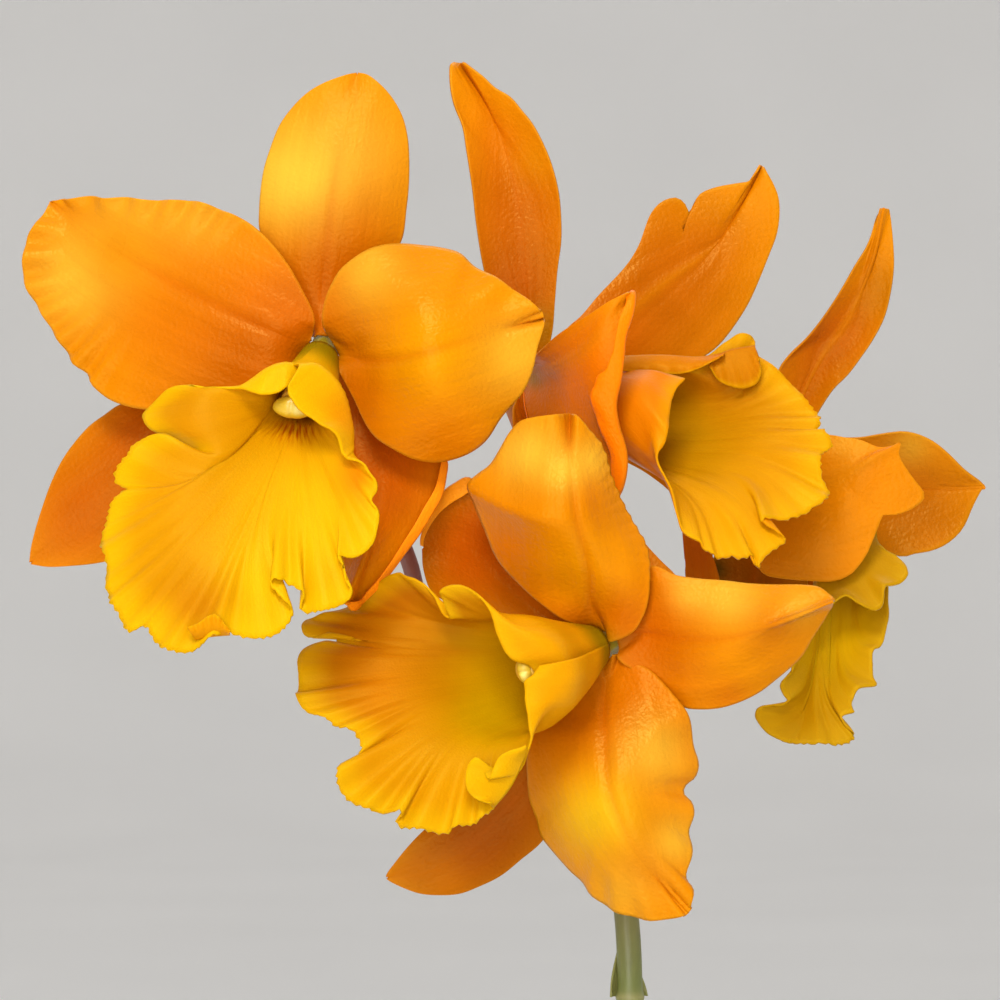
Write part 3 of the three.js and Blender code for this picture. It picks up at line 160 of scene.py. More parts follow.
BLOOMS = [
    {
        "centre": (-35.5, 29, 8), "facing": (-0.27, -0.42, 0.87), "stalk": (140, 70, 66),
        "column": (-41.3, 18.7, 29.5), "cap": 1.0, "foot": 3.5,
        "tepals": {
            "dorsal_sepal": dict(
                sepal=True, turn=0, tip=(-28.5, 85.5, 5),
                rib=[(-35.5, 40, 5.5), (-34.5, 52, 7.5), (-33, 64, 9), (-31, 75, 8)],
                left=[(-38, 33), (-41, 38), (-45, 46), (-48, 53.8), (-48.1, 58), (-47.8, 62), (-47.2, 66), (-46, 70),
                      (-44, 75), (-41, 79), (-38, 81.8), (-35, 83.5), (-31, 85)],
                right=[(-32, 36), (-27, 43), (-22, 48.5), (-19.7, 52), (-18.8, 58), (-18.3, 63), (-18.2, 68),
                       (-18.5, 72.5), (-19.5, 76.5), (-21.5, 80.3), (-23.5, 82.7), (-26, 84.8)],
                rise=((0, -2, -4, -3, 0), (0, -2, -4, -3, 0)), groove=0.25,
                paint=[(-42, 64, 10, HIGHLIGHT_PEACH, 0.85), (-30, 70, 10, HIGHLIGHT_PEACH, 0.4), (-33, 45, 12, DEEP, 0.45)]),
            "petal_left": dict(
                turn=60, tip=(-90, 59.8, -7),
                rib=[(-44, 33, 10.5), (-52, 36.5, 9.5), (-60, 40.5, 7.5), (-70, 46, 4), (-80, 52.5, -1)],
                left=[(-37.2, 37), (-39.5, 42), (-43, 48), (-48, 53.7), (-52, 56.5), (-55, 57.7), (-58, 59),
                      (-61, 59.8), (-65, 60), (-70, 60), (-75, 60.6), (-79, 60.4), (-82, 60.8), (-86, 60.3)],
                right=[(-43, 26.5), (-50, 22.5), (-60, 19), (-70, 18), (-76, 19.2), (-79.5, 21), (-81.2, 22.7),
                       (-82.5, 25), (-85.2, 27.2), (-86, 28.5), (-88, 31.5), (-90, 34.5), (-93, 39.5), (-94.8, 42.5),
                       (-95.6, 47), (-95, 50.5), (-94.5, 53), (-93, 55), (-91, 57.8)],
                rise=((0, 0.5, 1, 2, 0), (0, -2, -3, -3, 0)), groove=0.45,
                ripple=[("left", 0.45, 0.95, 0.8, 6), ("right", 0.5, 0.93, 0.9, 7)],
                paint=[(-84, 45, 9, HIGHLIGHT_PEACH, 0.55), (-74, 56, 8, HIGHLIGHT_PEACH, 0.35), (-60, 56, 7, HIGHLIGHT_PEACH, 0.3),
                       (-76, 50, 8, GOLD, 0.7), (-52, 30, 14, DEEP, 0.42), (-42, 40, 8, DEEP, 0.5)]),
            "petal_right": dict(
                turn=300, tip=(8.9, 36.5, 17),
                rib=[(-30, 28.5, 11), (-23, 28, 19), (-15, 29.5, 25), (-8, 31.5, 24), (0, 33.8, 20)],
                left=[(-35.6, 36), (-35, 40), (-33.5, 43.5), (-32, 46), (-29, 48.5), (-26, 50.2), (-23, 51),
                      (-19.5, 51.2), (-15, 50.8), (-11, 50.2), (-8, 49), (-5.5, 47.2), (-2.5, 45.3), (1, 43.2),
                      (4.5, 41), (7.5, 38.5)],
                right=[(-32.8, 26.8), (-31, 23.6), (-28.6, 19), (-27, 15.5), (-25, 12.7), (-21, 10), (-17, 8.2),
                       (-13, 7.6), (-10, 8), (-6, 9.5), (-3, 11.8), (0, 16.2), (2, 18.7), (4.5, 21.5), (6.5, 26),
                       (7.5, 30.5), (8.6, 34)],
                rise=((0, -3, -10, -6.5, 0), (0, -3, -11, -6.5, 0)), groove=0.35,
                ripple=[("left", 0.55, 0.95, 0.5, 4)],
                paint=[(2, 29, 7, HIGHLIGHT_PEACH, 0.5), (-26, 45, 7, HIGHLIGHT_PEACH, 0.45), (-14, 28, 14, (255, 176, 6), 0.7),
                       (-27, 22, 8, DEEP, 0.35), (-12, 12, 8, (248, 136, 4), 0.7)]),
            "lateral_sepal_left": dict(
                sepal=True, turn=120, tip=(-94.2, -12.8, -6),
                rib=[(-45, 22.5, 2.5), (-58, 14, -2), (-72, 4, -4), (-84, -5, -5)],
                left=[(-45, 25), (-58, 22), (-70, 20), (-76, 19), (-79, 17), (-82, 14.8), (-85, 11.5), (-87.5, 8),
                      (-89.5, 4), (-91, 0), (-92.5, -4.5), (-93.7, -9)],
                right=[(-42, 19), (-52, 6), (-62, -4), (-72, -10.5), (-80, -12.5), (-86, -13.2), (-90, -13.4)],
                rise=((0, -3, -4, -2, 0), (0, -1, -2, -1, 0)), groove=0.3,
                paint=[(-84, -2, 16, (196, 84, 0), 0.8), (-72, 14, 10, (188, 74, 0), 0.8)]),
            "lateral_sepal_right": dict(
                sepal=True, turn=240, tip=(-31, -20.6, 26),
                rib=[(-30.5, 20, 4), (-26, 10, 7), (-24.5, 0, 13), (-27, -11, 21)],
                left=[(-27, 23), (-19, 17), (-13, 11), (-11.2, 7.5), (-11.5, 5), (-12.5, 1), (-14.5, -2.5),
                      (-17, -6.5), (-20, -10.5), (-23, -14.5), (-26, -18), (-28.5, -20.3)],
                right=[(-36, 20), (-37.5, 10), (-37.5, 0), (-36, -10), (-33.5, -17)],
                rise=((0, -2, -1, 0, 0), (0, -2, -3, -1, 0)), groove=0.3,
                turned=("left", (0, 0.6, 1.6, 1.7, 0.2), (250, 140, 14)),
                paint=[(-22, 4, 12, DEEP, 0.85), (-27, 14, 8, RED, 0.5)]),
        },
        "tube": ((-39, 21.3, 18), 7.4), "throat": ((-41, 17.6, 26), 9.8),
        "shapes": ((0.88, 0.8, 0.55, 0.8, 0.88), (0.96, 0.6, 0.34, 0.62, 0.96)),
        "inside": SUN, "outside": (255, 196, 12), "deep": (236, 170, 6), "rim": LEMON,
        "seed": 4, "waves": (0.18, 26), "folds": 0.08, "fringe": (100, 200),
        "ruffles": [(100, 150, 0.45, 7), (158, 205, 0.9, 6), (212, 285, 0.2, 6)],
        "streaks": (-40.6, 13.8, 5.6, 2.3),
        "fold": [([(-61, -27.8), (-57.5, -27.2), (-54, -26.8)],
                  [(-62.5, -25.4), (-60.5, -24.7), (-58.5, -23.3), (-57, -22.8), (-56, -23.6), (-54, -26.2)],
                  (45.6, 47, 0.6), (240, 160, 8))],
        "outside_paint": [(-31, 17, 7, (242, 150, 4), 0.85), (-27, 6, 5, (240, 140, 4), 0.6)],
        "lip_paint": [(-62, 17, 10, SHADE_OCHRE, 0.7), (-50, 14, 8, SHADE_OCHRE, 0.5), (-62, 0, 13, SHADE_OCHRE, 0.5),
                      (-64, -18, 12, SHADE_OCHRE, 0.6), (-36, -3, 13, LEMON, 0.6), (-47, -16, 9, LEMON, 0.7),
                      (-66, -28, 4, (240, 160, 10), 0.5), (-41.5, 13, 6, (240, 170, 6), 0.7),
                      (-27.6, 4.6, 5, (246, 140, 6), 0.85),
                      (-60, -21, 7, (214, 128, 4), 0.6)],
        "lip": [
            (-4, (-38.6, 26.4, 30.5), 32, [(-41, 23.4)]),
            (14, (-42, 27.5, 31.5), 34, [(-43.2, 22.2)]),
            (34, (-46.3, 26.4, 31.5), 34, [(-44.8, 21.3), (-46.5, 20.9), (-48, 20.9)]),
            (52, (-51.3, 23, 30), 31, [(-50.3, 21.6), (-52, 22.3), (-53.5, 22.4)]),
            (72, (-60, 19, 31), 26, [(-56, 22.2), (-60, 22.7), (-64, 23), (-66.5, 22.3), (-68.3, 20.8), (-70, 19),
                                     (-71.6, 17)]),
            (84, (-59, 13.5, 32.5), 29, [(-71.3, 15.5), (-70, 14), (-66.5, 12.6)]),
            (91, (-56, 9.5, 33), 31.5, [(-63, 11), (-61.4, 10), (-61.2, 8.8), (-62.6, 9.8)]),
            (100, (-60, 5, 34), 30, [(-65.5, 12.4), (-67.5, 13.3), (-70, 13.2), (-72.5, 12), (-74, 10.8)]),
            (115, (-64, 2, 36), 33, [(-74.8, 9), (-76, 8), (-77.3, 6.5), (-77.8, 5), (-77.3, 3.3), (-75, 2),
                                     (-76.5, 1), (-78.3, -0.5), (-79, -3), (-79.5, -6)]),
            (140, (-62, -8, 40), 40, [(-80.5, -9), (-79.5, -11), (-79.3, -14), (-79.2, -18), (-78.5, -20.5),
                                      (-77, -23)]),
            (165, (-54, -12, 41), 46.5, [(-75.5, -26), (-74.3, -27), (-72, -25.7), (-71, -26), (-70, -28),
                                         (-68.5, -29.7), (-67, -30.5), (-65, -31), (-62, -30.6)]),
            (185, (-43.7, -4.5, 38), 45, [(-60, -29.5), (-58, -28), (-56, -27.5), (-54, -27), (-51.5, -28),
                                          (-48, -28.5), (-45, -27.8), (-43, -26), (-42, -24), (-42.3, -22),
                                          (-43.8, -20), (-44.7, -18), (-44.8, -16.8)]),
            (205, (-34.5, -5, 39), 46, [(-43.5, -16.3), (-41.5, -17.3), (-40.2, -19), (-39.5, -21), (-39, -22.8),
                                        (-37, -23), (-34.5, -22.7), (-32.5, -21.8), (-30.5, -20), (-30, -18)]),
            (232, (-30.5, 0, 38), 43, [(-30.7, -15.5), (-31, -13.5), (-32.5, -11.3), (-29.5, -11.6), (-27, -10.8),
                                       (-25.3, -9)]),
            (256, (-29, 6, 35.5), 39, [(-24.3, -6), (-24.2, -3), (-25.5, -0.3), (-24.5, 1.5)]),
            (278, (-29.5, 10.3, 33), 37, [(-25, 4), (-26.5, 6.5), (-28.5, 7.8), (-30.8, 8.2)]),
            (303, (-29.4, 14.5, 32), 37, [(-31.5, 9), (-32, 11), (-32.7, 12.6)]),
            (328, (-31.5, 22, 32), 37, [(-34, 13.9), (-36, 15), (-37.5, 16.2), (-39, 17)]),
            (347, (-36.4, 27.2, 33), 37, [(-40.7, 18.3), (-41.8, 20), (-42.4, 21)]),
            (364, (-40.2, 27, 34.5), 37, [(-42.4, 22.8)]),
        ],
    },
    {
        "centre": (20, -29, 10), "facing": (-0.68, -0.22, 0.7), "stalk": (158, 56, 38),
        "column": (5, -34.2, 31), "cap": 0.62,
        "tepals": {
            "dorsal_sepal": dict(
                sepal=True, turn=0, tip=(66.6, -20.3, 30),
                rib=[(28, -26.5, 12), (36, -27.5, 16), (46, -27.5, 21), (56, -24.5, 26)],
                left=[(23.5, -25.5), (27, -19), (30, -13.2), (32, -13.5), (35, -15), (40, -15.8), (45, -16.2),
                      (50, -16.8), (55, -17), (60, -17), (64, -17.5), (66, -19)],
                right=[(24, -32.3), (27, -34.2), (30, -36), (33, -38.5), (35.5, -40.5), (37, -41.5), (40, -41.8),
                       (44, -41.5), (48, -40.3), (52, -38.3), (55, -36), (58, -33.5), (60.5, -31), (62.5, -27.5),
                       (64.5, -24.5), (65.8, -22.3)],
                rise=((0, -2, -3, -1.4, 0), (0, -3, -5, -2.2, 0)), groove=0.2,
                paint=[(46, -20, 6, HIGHLIGHT_PEACH, 0.65), (38, -19, 4, HIGHLIGHT_PEACH, 0.45), (60, -21, 4, HIGHLIGHT_PEACH, 0.3),
                       (46, -33, 8, (255, 158, 6), 0.9),
                       (36, -33, 8, ORANGE, 0.5), (30, -27, 8, DEEP, 0.5), (46, -39, 4, DEEP, 0.4)]),
            "petal_left": dict(
                turn=60, tip=(14, 17.3, 18),
                rib=[(18.5, -22, 13), (17.5, -13, 21), (15, -3, 26), (14, 8, 24)],
                left=[(12, -23.5), (3, -16), (-1, -11), (-3, -6), (-5, -1), (-6.5, 3), (-4.5, 5), (-2, 7), (0, 10),
                      (2, 13.5), (4, 15.7), (7, 16.6), (10, 17)],
                right=[(22.5, -28.3), (26.5, -26.5), (28.5, -23.5), (29.6, -20), (29.9, -16), (29.8, -12), (29, -8.7),
                       (27, -5.2), (25, -1.5), (23.7, 1.3), (23, 3), (22, 5.5), (21.3, 8.5), (20, 11.5), (18, 13.8),
                       (16, 16.3)],
                rise=((0, -5, -12, -10, 0), (0, -3, -8, -7, 0)), groove=0.5,
                ripple=[("right", 0.35, 0.75, 0.2, 13)],
                paint=[(5, 9, 6, HIGHLIGHT_PEACH, 0.75), (12, 5, 4, HIGHLIGHT_PEACH, 0.7), (18, 8, 4, HIGHLIGHT_PEACH, 0.5), (8, -4, 10, GOLD, 0.6),
                       (15, -14, 9, (255, 166, 10), 0.9), (24, -12, 6, (255, 160, 20), 0.6),
                       (2, -9, 6, DEEP, 0.4), (16, -24, 4, DEEP, 0.4), (24, -23, 4, DEEP, 0.3)]),
            "petal_right": dict(
                turn=300, tip=(37.6, -82.6, 20),
                rib=[(21, -37, 10.5), (21, -47, 17), (22, -58, 22), (26, -68, 23), (32, -76.5, 21)],
                left=[(25, -31), (27, -32.5), (30, -34), (33, -37), (35.5, -40), (37, -42.3), (38, -44.5),
                      (38.7, -47), (39, -50), (39.3, -53), (38.8, -55.5), (37.5, -57), (37, -58.5), (38, -60.5),
                      (38.4, -63), (38.1, -66), (38.3, -69), (37.9, -72), (37.5, -75.5), (38.5, -78), (38.2, -81)],
                right=[(18, -32), (15.5, -36), (12, -41), (9, -43.5), (6.5, -46), (5.6, -50), (5.5, -55), (6, -60),
                       (7.5, -64), (8.3, -67), (10.5, -70), (14, -74), (17.5, -77.5), (20, -80.5), (22.5, -81.8),
                       (26, -83.3), (30, -84), (33, -84), (36, -83.4)],
                rise=((0, -2, -5, -4, 0), (0, -5, -13, -7, 0)), groove=0.55,
                ripple=[("left", 0.3, 0.85, 0.7, 5), ("right", 0.6, 0.95, 0.5, 5)],
                paint=[(31, -50, 7, HIGHLIGHT_PEACH, 0.5), (35, -68, 5, HIGHLIGHT_PEACH, 0.45), (13, -55, 5, ORANGE, 0.7),
                       (19, -63, 9, (255, 206, 60), 0.8), (21, -38, 6, ORANGE, 0.8), (24, -79, 7, HIGHLIGHT_PEACH, 0.3)]),
            "lateral_sepal_left": dict(
                sepal=True, turn=120, tip=(-15.6, -9.5, -1),
                rib=[(12, -25, 8), (3, -17.5, 5), (-5, -10, 2), (-11, -8, 0)],
                left=[(15, -22), (7, -11), (0, -3), (-6, 3.8), (-8.5, 2.8), (-11, 1), (-13, -1.5), (-14.5, -4.5),
                      (-15.6, -7.8)],
                right=[(10, -28.5), (0, -25), (-8, -21.5), (-13.5, -18.5), (-15.3, -14)],
                rise=((0, -1, -1, 1, 0), (0, -2, -3, -2, 0)), groove=0.3,
                turned=("left", (0, 0.4, 1.6, 2.3, 0.4), (255, 156, 26)),
                paint=[(-3, -7, 12, RED, 0.75), (-8, -12, 8, DEEP, 0.7)]),
            "lateral_sepal_right": dict(
                sepal=True, turn=240, tip=(-22.9, -75.6, -2),
                rib=[(15.5, -40, 5), (8, -53, 2), (0, -63, 0), (-11, -71.5, -1)],
                left=[(12, -36), (2, -46), (-6, -56), (-12, -63), (-16.5, -67.3), (-19, -70), (-21, -72.5),
                      (-22.5, -74.5)],
                right=[(18.5, -37), (17, -48), (14, -58), (8.7, -67.8), (4, -72), (0, -75.2), (-4, -77.2),
                       (-8, -78.7), (-12, -79), (-16, -78.7), (-19.5, -77.5), (-22, -76.3)],
                rise=((0, -1, -2, -1, 0), (0, -1, -2, -1, 0)), groove=0.3,
                paint=[(-4, -66, 18, (176, 72, 0), 0.85), (-12, -76, 5, ORANGE, 0.6)]),
        },
        "tube": ((12, -31.8, 18.5), 8), "throat": ((5.7, -33.8, 24.5), 12),
        "shapes": WIDE_TUBE, "inside": (224, 152, 6), "outside": (250, 172, 10), "deep": (232, 182, 8),
        "rim": (255, 204, 24), "seed": 9, "waves": (0.15, 24), "folds": 0.08, "fringe": (185, 285),
        "ruffles": [(70, 115, 0.3, 4), (120, 185, 0.5, 6), (190, 264, 0.8, 8)],
        "fold": [([(-1.5, -61.5), (2, -57.5), (5.4, -50)],
                  [(-1.6, -60.4), (-4.4, -60), (-6.4, -58.2), (-6.9, -55.4), (-6.2, -52.6), (-4.8, -51.4),
                   (-3.6, -52.4), (-3, -55), (-2.2, -56), (-1.5, -54), (-0.2, -51.4), (1.8, -50.2), (4, -49.6),
                   (5.2, -49)], (38.6, 41, 0.8), (250, 188, 14))],
        "lip_paint": [(-2, -42, 9, (236, 200, 6), 0.7), (-12, -29, 11, (186, 112, 2), 0.75),
                      (-26, -38, 10, (222, 126, 2), 0.7),
                      (-30, -28, 9, (200, 108, 2), 0.7),
                      (-20, -57, 10, (232, 160, 4), 0.75), (-6, -60, 8, SUN, 0.6), (-20, -19, 7, (192, 98, 2), 0.6)],
        "lip": [
            (-4, (11, -34.5, 32.5), 31.5, [(7.2, -35)]),
            (16, (9.3, -30, 33.8), 33, [(5.6, -33.1), (2.4, -32)]),
            (44, (4, -25.6, 33.5), 33, [(0.8, -30.3), (-0.3, -28), (-1, -26.3), (-1.5, -24.3)]),
            (66, (-1.5, -22.3, 30), 32, [(-2.1, -22.4), (-3.5, -20.2), (-5.5, -18), (-8, -17), (-10, -17)]),
            (86, (-6, -23.5, 27), 28, [(-12, -17.7), (-12.3, -18.5), (-11.5, -20.5), (-10.6, -22.4)]),
            (105, (-9, -23, 25), 25, [(-10.4, -23.8), (-11.5, -23), (-12.8, -20.5), (-13.5, -19.3), (-15.5, -16.8),
                                      (-17.5, -15.5)]),
            (125, (-15, -23.5, 20.5), 15.5, [(-20, -14.8), (-22, -14.7), (-24.5, -16.3), (-28, -19)]),
            (145, (-21, -27.5, 21), 15.5, [(-31, -21.5), (-34, -22.7), (-37, -23), (-39, -23.8), (-39.8, -25)]),
            (163, (-21, -32.5, 24), 22, [(-39.3, -27), (-37.5, -27.5), (-35, -26.8), (-33, -27.3), (-33, -29.4),
                                         (-34.3, -28.6), (-36, -28.1), (-38.5, -28.8), (-40, -30), (-40.8, -32)]),
            (180, (-19, -37, 26), 28, [(-40.6, -35), (-40.7, -37.5), (-41.2, -39), (-40.5, -40.8)]),
            (200, (-15, -41.5, 28), 33, [(-39, -42.3), (-37, -43.2), (-35, -44), (-33.5, -45.2), (-32, -46),
                                         (-30, -46.2), (-29, -47.5), (-28.3, -50)]),
            (220, (-13, -47, 31), 37, [(-28.8, -51.5), (-30.5, -52.5), (-32.5, -53.3), (-33.3, -55), (-32.8, -57.5),
                                       (-31, -60), (-28.5, -61.8)]),
            (242, (-7, -50, 33), 39, [(-26, -62.5), (-23, -63), (-20, -63), (-20.7, -65.3), (-19, -66.2),
                                      (-16, -66.5), (-13, -67)]),
            (264, (0, -49.5, 33), 39, [(-10.5, -67), (-9, -66), (-6, -65.3), (-4, -64.5), (-2, -62.5), (-0.8, -60.5)]),
            (288, (6, -46.7, 32.5), 38, [(1.5, -58.5), (2, -56.5), (3.2, -55), (4.8, -53)]),
            (320, (9.8, -41, 34.5), 35.5, [(5.5, -50.5), (6, -47.5), (5.7, -46), (5.3, -43)]),
            (345, (10.9, -36.4, 35), 35, [(4.8, -40), (4.8, -38), (4.7, -36.3)]),
            (364, (10.6, -32.6, 35.5), 34.5, [(6.2, -35.3), (7.8, -33.2)]),
        ],
    },
    {
        "centre": (7, 24, -20), "facing": (0.78, -0.25, 0.57), "stalk": (206, 92, 22), "green": 1.8,
        "column": (28, 16.5, -4), "cap": 0.85,
        "tepals": {
            "dorsal_sepal": dict(
                sepal=True, turn=0, tip=(-8, 87.4, -30),
                rib=[(6, 35, -21), (4.5, 48, -22), (3, 62, -24), (-1, 76, -27)],
                left=[(2, 30), (-1, 38), (-3.2, 46), (-4.7, 55), (-5.5, 62), (-6.7, 70), (-7.5, 75), (-9.3, 79.5),
                      (-10, 83), (-10.1, 86)],
                right=[(9.6, 30), (10.5, 34), (11, 40), (11.5, 46), (12.2, 51.5), (12.2, 56), (11.7, 61.5),
                       (10.5, 66.5), (9, 70.5), (6.5, 75.3), (4.5, 77.8), (2, 80.7), (-1, 82.5), (-3.5, 84.8),
                       (-6, 86.7)],
                rise=((0, 1, 2, 1, 0), (0, 1, 2, 1, 0)), groove=0.15,
                paint=[(2, 58, 16, (204, 92, 0), 0.7), (2, 42, 9, (190, 66, 0), 0.5), (8, 34, 5, GREEN, 0.4),
                       (7, 68, 5, (226, 140, 4), 0.5)]),
            "petal_left": dict(
                turn=60, tip=(26.6, 41.3, 8),
                rib=[(7, 25.8, -10.5), (10.5, 26.5, -1), (16, 29, 7.5), (20, 33, 11), (24, 37.5, 11)],
                left=[(7.6, 29.4), (11, 32.6), (14, 34.7), (18.5, 37.5), (22, 39.8), (25, 41.3)],
                right=[(5.6, 17), (8.6, 8), (15, 1), (21, -1), (23.8, 1.5), (25, 5), (25.2, 8.5), (24.6, 12),
                       (23.5, 15.5), (23, 20), (23.9, 25), (24.3, 29), (24.7, 33.5), (26, 37.5), (26.8, 40.3)],
                rise=((0, 0, 0, 0, 0), (0, 4, 5, 2, 0)), groove=0.2,
                turned=("right", (0, 0, 0, 0, 0, 0, 0, 0.3, 0.8, 1.2, 2, 3.5, 6.2, 7.2, 5.5, 3, 2, 1.6, 1.4, 1, 0.5),
                        (236, 116, 2)),
                paint=[(17, 25, 11, (255, 124, 0), 0.9), (9, 25, 4, (200, 110, 4), 0.5)]),
            "petal_right": dict(
                turn=300, tip=(52.3, 66.9, -36),
                rib=[(16, 30.5, -24), (25, 37, -28), (33, 43.5, -31), (43, 51, -34), (49, 59, -36)],
                left=[(10.5, 31), (14, 34.8), (16, 36.5), (19.8, 41), (22, 43.3), (24.5, 46), (26.5, 48.7), (28, 51.5),
                      (29, 54.3), (30, 57), (31.5, 59), (33.5, 60.2), (35.5, 60.4), (37, 59.2), (38.1, 57), (38.6, 59),
                      (40, 61.2), (43, 62.5), (47, 63.3), (50.3, 64), (51.3, 65.8)],
                right=[(15, 25.5), (25, 26), (36, 27), (40, 28.3), (43, 30.3), (45.5, 33), (49.5, 39), (52, 44.5),
                       (54, 49.5), (55.3, 53), (55.9, 57), (55.7, 60.5), (54.8, 63), (53.6, 65.2)],
                rise=((0, -1, -2, -1.4, 0), (0, -1, -2, -1, 0)), groove=-0.12,
                paint=[(48, 60, 5, GOLD, 0.5), (34, 46, 18, (198, 96, 0), 0.75), (20, 34, 9, (226, 96, 0), 0.5)]),
            "lateral_sepal_left": dict(
                sepal=True, turn=120, tip=(38.5, -21, -4),
                rib=[(5.2, 14, -17), (10, 4, -13), (19, -5.5, -9), (29, -14, -5)],
                left=[(7.6, 17), (12.5, 10.5), (19, 3.5), (25, -3), (29, -8.7), (32, -12), (35.3, -15.3)],
                right=[(2.5, 16), (3.5, 6), (9, -5), (18, -13), (27, -20), (34, -22.5)],
                rise=((0, -1, -2, -1, 0), (0, -1, -2, -1, 0)), groove=0.3,
                paint=[(20, -3, 20, DEEP, 0.6)]),
            "lateral_sepal_right": dict(
                sepal=True, turn=240, tip=(41, -25, -36),
                rib=[(16, 18, -25), (27, 11.5, -30), (36, 3, -33), (40.5, -11, -35)],
                left=[(19, 21.5), (31, 17.5), (40, 9), (43.3, -3), (42.5, -11.5), (43.8, -16)],
                right=[(14, 15), (22, 9.5), (30, 5), (35.5, 0), (37.3, -7.5), (37.3, -16)],
                rise=((0, -1, -2, -1, 0), (0, -1, -2, -1, 0)), groove=0.3,
                paint=[(38, -10, 10, DEEP, 0.9)]),
        },
        "tube": ((18.8, 19.6, -12), 7.2), "throat": ((30.4, 16.5, -3), 11),
        "shapes": WIDE_TUBE, "inside": (232, 158, 6), "outside": (244, 136, 4), "deep": (226, 150, 8),
        "rim": (255, 192, 20), "seed": 21, "waves": (0.15, 22), "folds": 0.06, "fringe": (150, 270),
        "ruffles": [(150, 212, 0.45, 4), (216, 300, 0.45, 7)],
        "fold": [([(41.5, 28), (46, 30), (51, 30.8)],
                  [(42, 26.6), (43.4, 24.2), (45.8, 22.8), (49, 22.3), (51.4, 23.4), (52.2, 25.2), (51.8, 28)],
                  (-6, -4.2, 0.6), (214, 128, 2)),
                 ([(24, 28.6), (32, 28.9), (40, 28.5), (45, 29.3)],
                  [(24, 25.8), (30, 25.5), (36, 25.2), (40, 26.4), (44.5, 28.8)], (-5, -3, 0.6), (226, 132, 2))],
        "lip_paint": [(38, 14, 10, (190, 140, 4), 0.7), (50, 14, 8, (214, 142, 4), 0.5), (46, -6, 8, SUN, 0.5),
                      (45, 28, 9, (190, 100, 2), 0.9), (62, 2, 5, SUN, 0.7), (58.5, 24.5, 2.6, (250, 130, 8), 0.8),
                      (62.5, 19.5, 2.2, (250, 130, 8), 0.8), (54, 28, 2.4, (250, 130, 8), 0.7)],
        "lip": [
            (15, (33.5, 25.2, 1), 3, [(37.2, 24.2)]),
            (55, (31, 17, 8), 9, [(35.3, 22), (34.3, 19), (34, 16.5), (33.8, 14)]),
            (98, (30.5, 8.5, 7), 11, [(33, 11), (31.7, 9), (31.8, 6.5), (33.3, 4)]),
            (128, (33.7, 3.5, 5), 11, [(34.5, 2), (35, 0), (35.2, -2.5), (35.8, -4.5)]),
            (158, (39.5, -1, 4), 11, [(37, -6.8), (38.5, -8), (40.3, -8.8), (41, -10), (42.5, -11.5), (44, -12)]),
            (180, (45, 0, 4), 12, [(46.5, -11.5), (48, -12.3), (50, -12), (51, -11.6), (51.9, -14)]),
            (200, (49, 3, 2), 10, [(53, -12.5), (55.5, -10), (57, -8.8), (55, -6.5), (52.6, -4.6)]),
            (220, (52, 7, 0), 5, [(54, -4.2), (58, -4), (60, -3.8), (63, -2), (66, 0)]),
            (240, (53, 12, -2), 0, [(66.3, 1.5), (65, 4), (64.8, 7), (64.8, 9), (65.5, 10), (67, 10.8)]),
            (260, (52, 17, -5), -4, [(66, 13.5), (65.2, 14), (64.3, 14.1), (64.7, 15.7), (64.5, 16.5), (63, 18.7)]),
            (285, (48, 21, -7), -8, [(61, 21), (58, 24), (55.5, 26.5), (52, 29)]),
            (312, (41.5, 24.5, -6), -8, [(50.5, 30), (51.2, 32), (50, 33.3), (48, 33.5), (45.5, 32), (43, 30)]),
            (345, (34, 27.5, -4), -4, [(40, 28.2), (37, 27.8), (34, 28.2)]),
        ],
    },
    {
        "centre": (54, 8, -46), "facing": (0.66, -0.62, 0.42), "stalk": (84, 84, 58),
        "column": (66, -4.5, -37), "cap": 0.8,
        "tepals": {
            "dorsal_sepal": dict(
                sepal=True, turn=0, tip=(76.8, 58.5, -44),
                rib=[(59, 18, -47), (64, 28, -47), (70, 37, -46), (74.5, 48, -45)],
                left=[(53.5, 15), (54, 21), (56, 26.5), (58, 29), (61, 32), (63.5, 35), (66, 38.5), (68.5, 42.5),
                      (71, 46.8), (73.5, 51), (74.7, 54), (75.4, 56.5)],
                right=[(62, 15), (66.5, 22), (69.5, 25), (72, 28.3), (74.5, 32), (76.8, 36.5), (78.2, 42), (78.8, 47),
                       (78.6, 52), (78.2, 56)],
                rise=((0, 1, 2, 1, 0), (0, 1, 2, 1, 0)), groove=-0.04,
                paint=[(66, 34, 12, (190, 80, 0), 0.75), (76, 42, 7, (196, 112, 0), 0.7)]),
            "petal_left": dict(
                turn=60, tip=(80.1, 11.4, -21),
                rib=[(55, 7.5, -36), (59, 5, -28), (66, 4.5, -24), (74, 8, -21.5)],
                left=[(58, 9.5), (63, 12.8), (66, 13), (69, 12.5), (72, 12), (76, 10.5), (78.3, 10.7)],
                right=[(51.5, 2), (49, -7), (50.2, -11), (51.8, -13.8), (53, -15), (57, -15.8), (62, -16.2),
                       (66.5, -16.3), (70, -15), (71.5, -13.5), (73.3, -11), (74.2, -9), (75, -7), (76, -4.5),
                       (76.5, -3.1), (79, -3), (82, -2), (84.3, -0.5), (85, 1), (82.7, 4.3), (80.4, 7.7)],
                rise=((0, -1, -2, -1, 0), (0, 1, 2, 1, 0)), groove=0.3,
                paint=[(69, 11, 4, HIGHLIGHT_PEACH, 0.45), (66, 0, 13, GOLD, 0.8)]),
            "petal_right": dict(
                turn=300, tip=(97.2, 2.5, -54),
                rib=[(62, 8, -51.5), (74, 4, -52.5), (85, 2, -54)],
                left=[(61.5, 12.5), (72, 12.5), (75, 13), (78, 13.5), (81, 13.7), (84, 13), (87, 11.5), (90, 9),
                      (93, 6), (95, 4.5)],
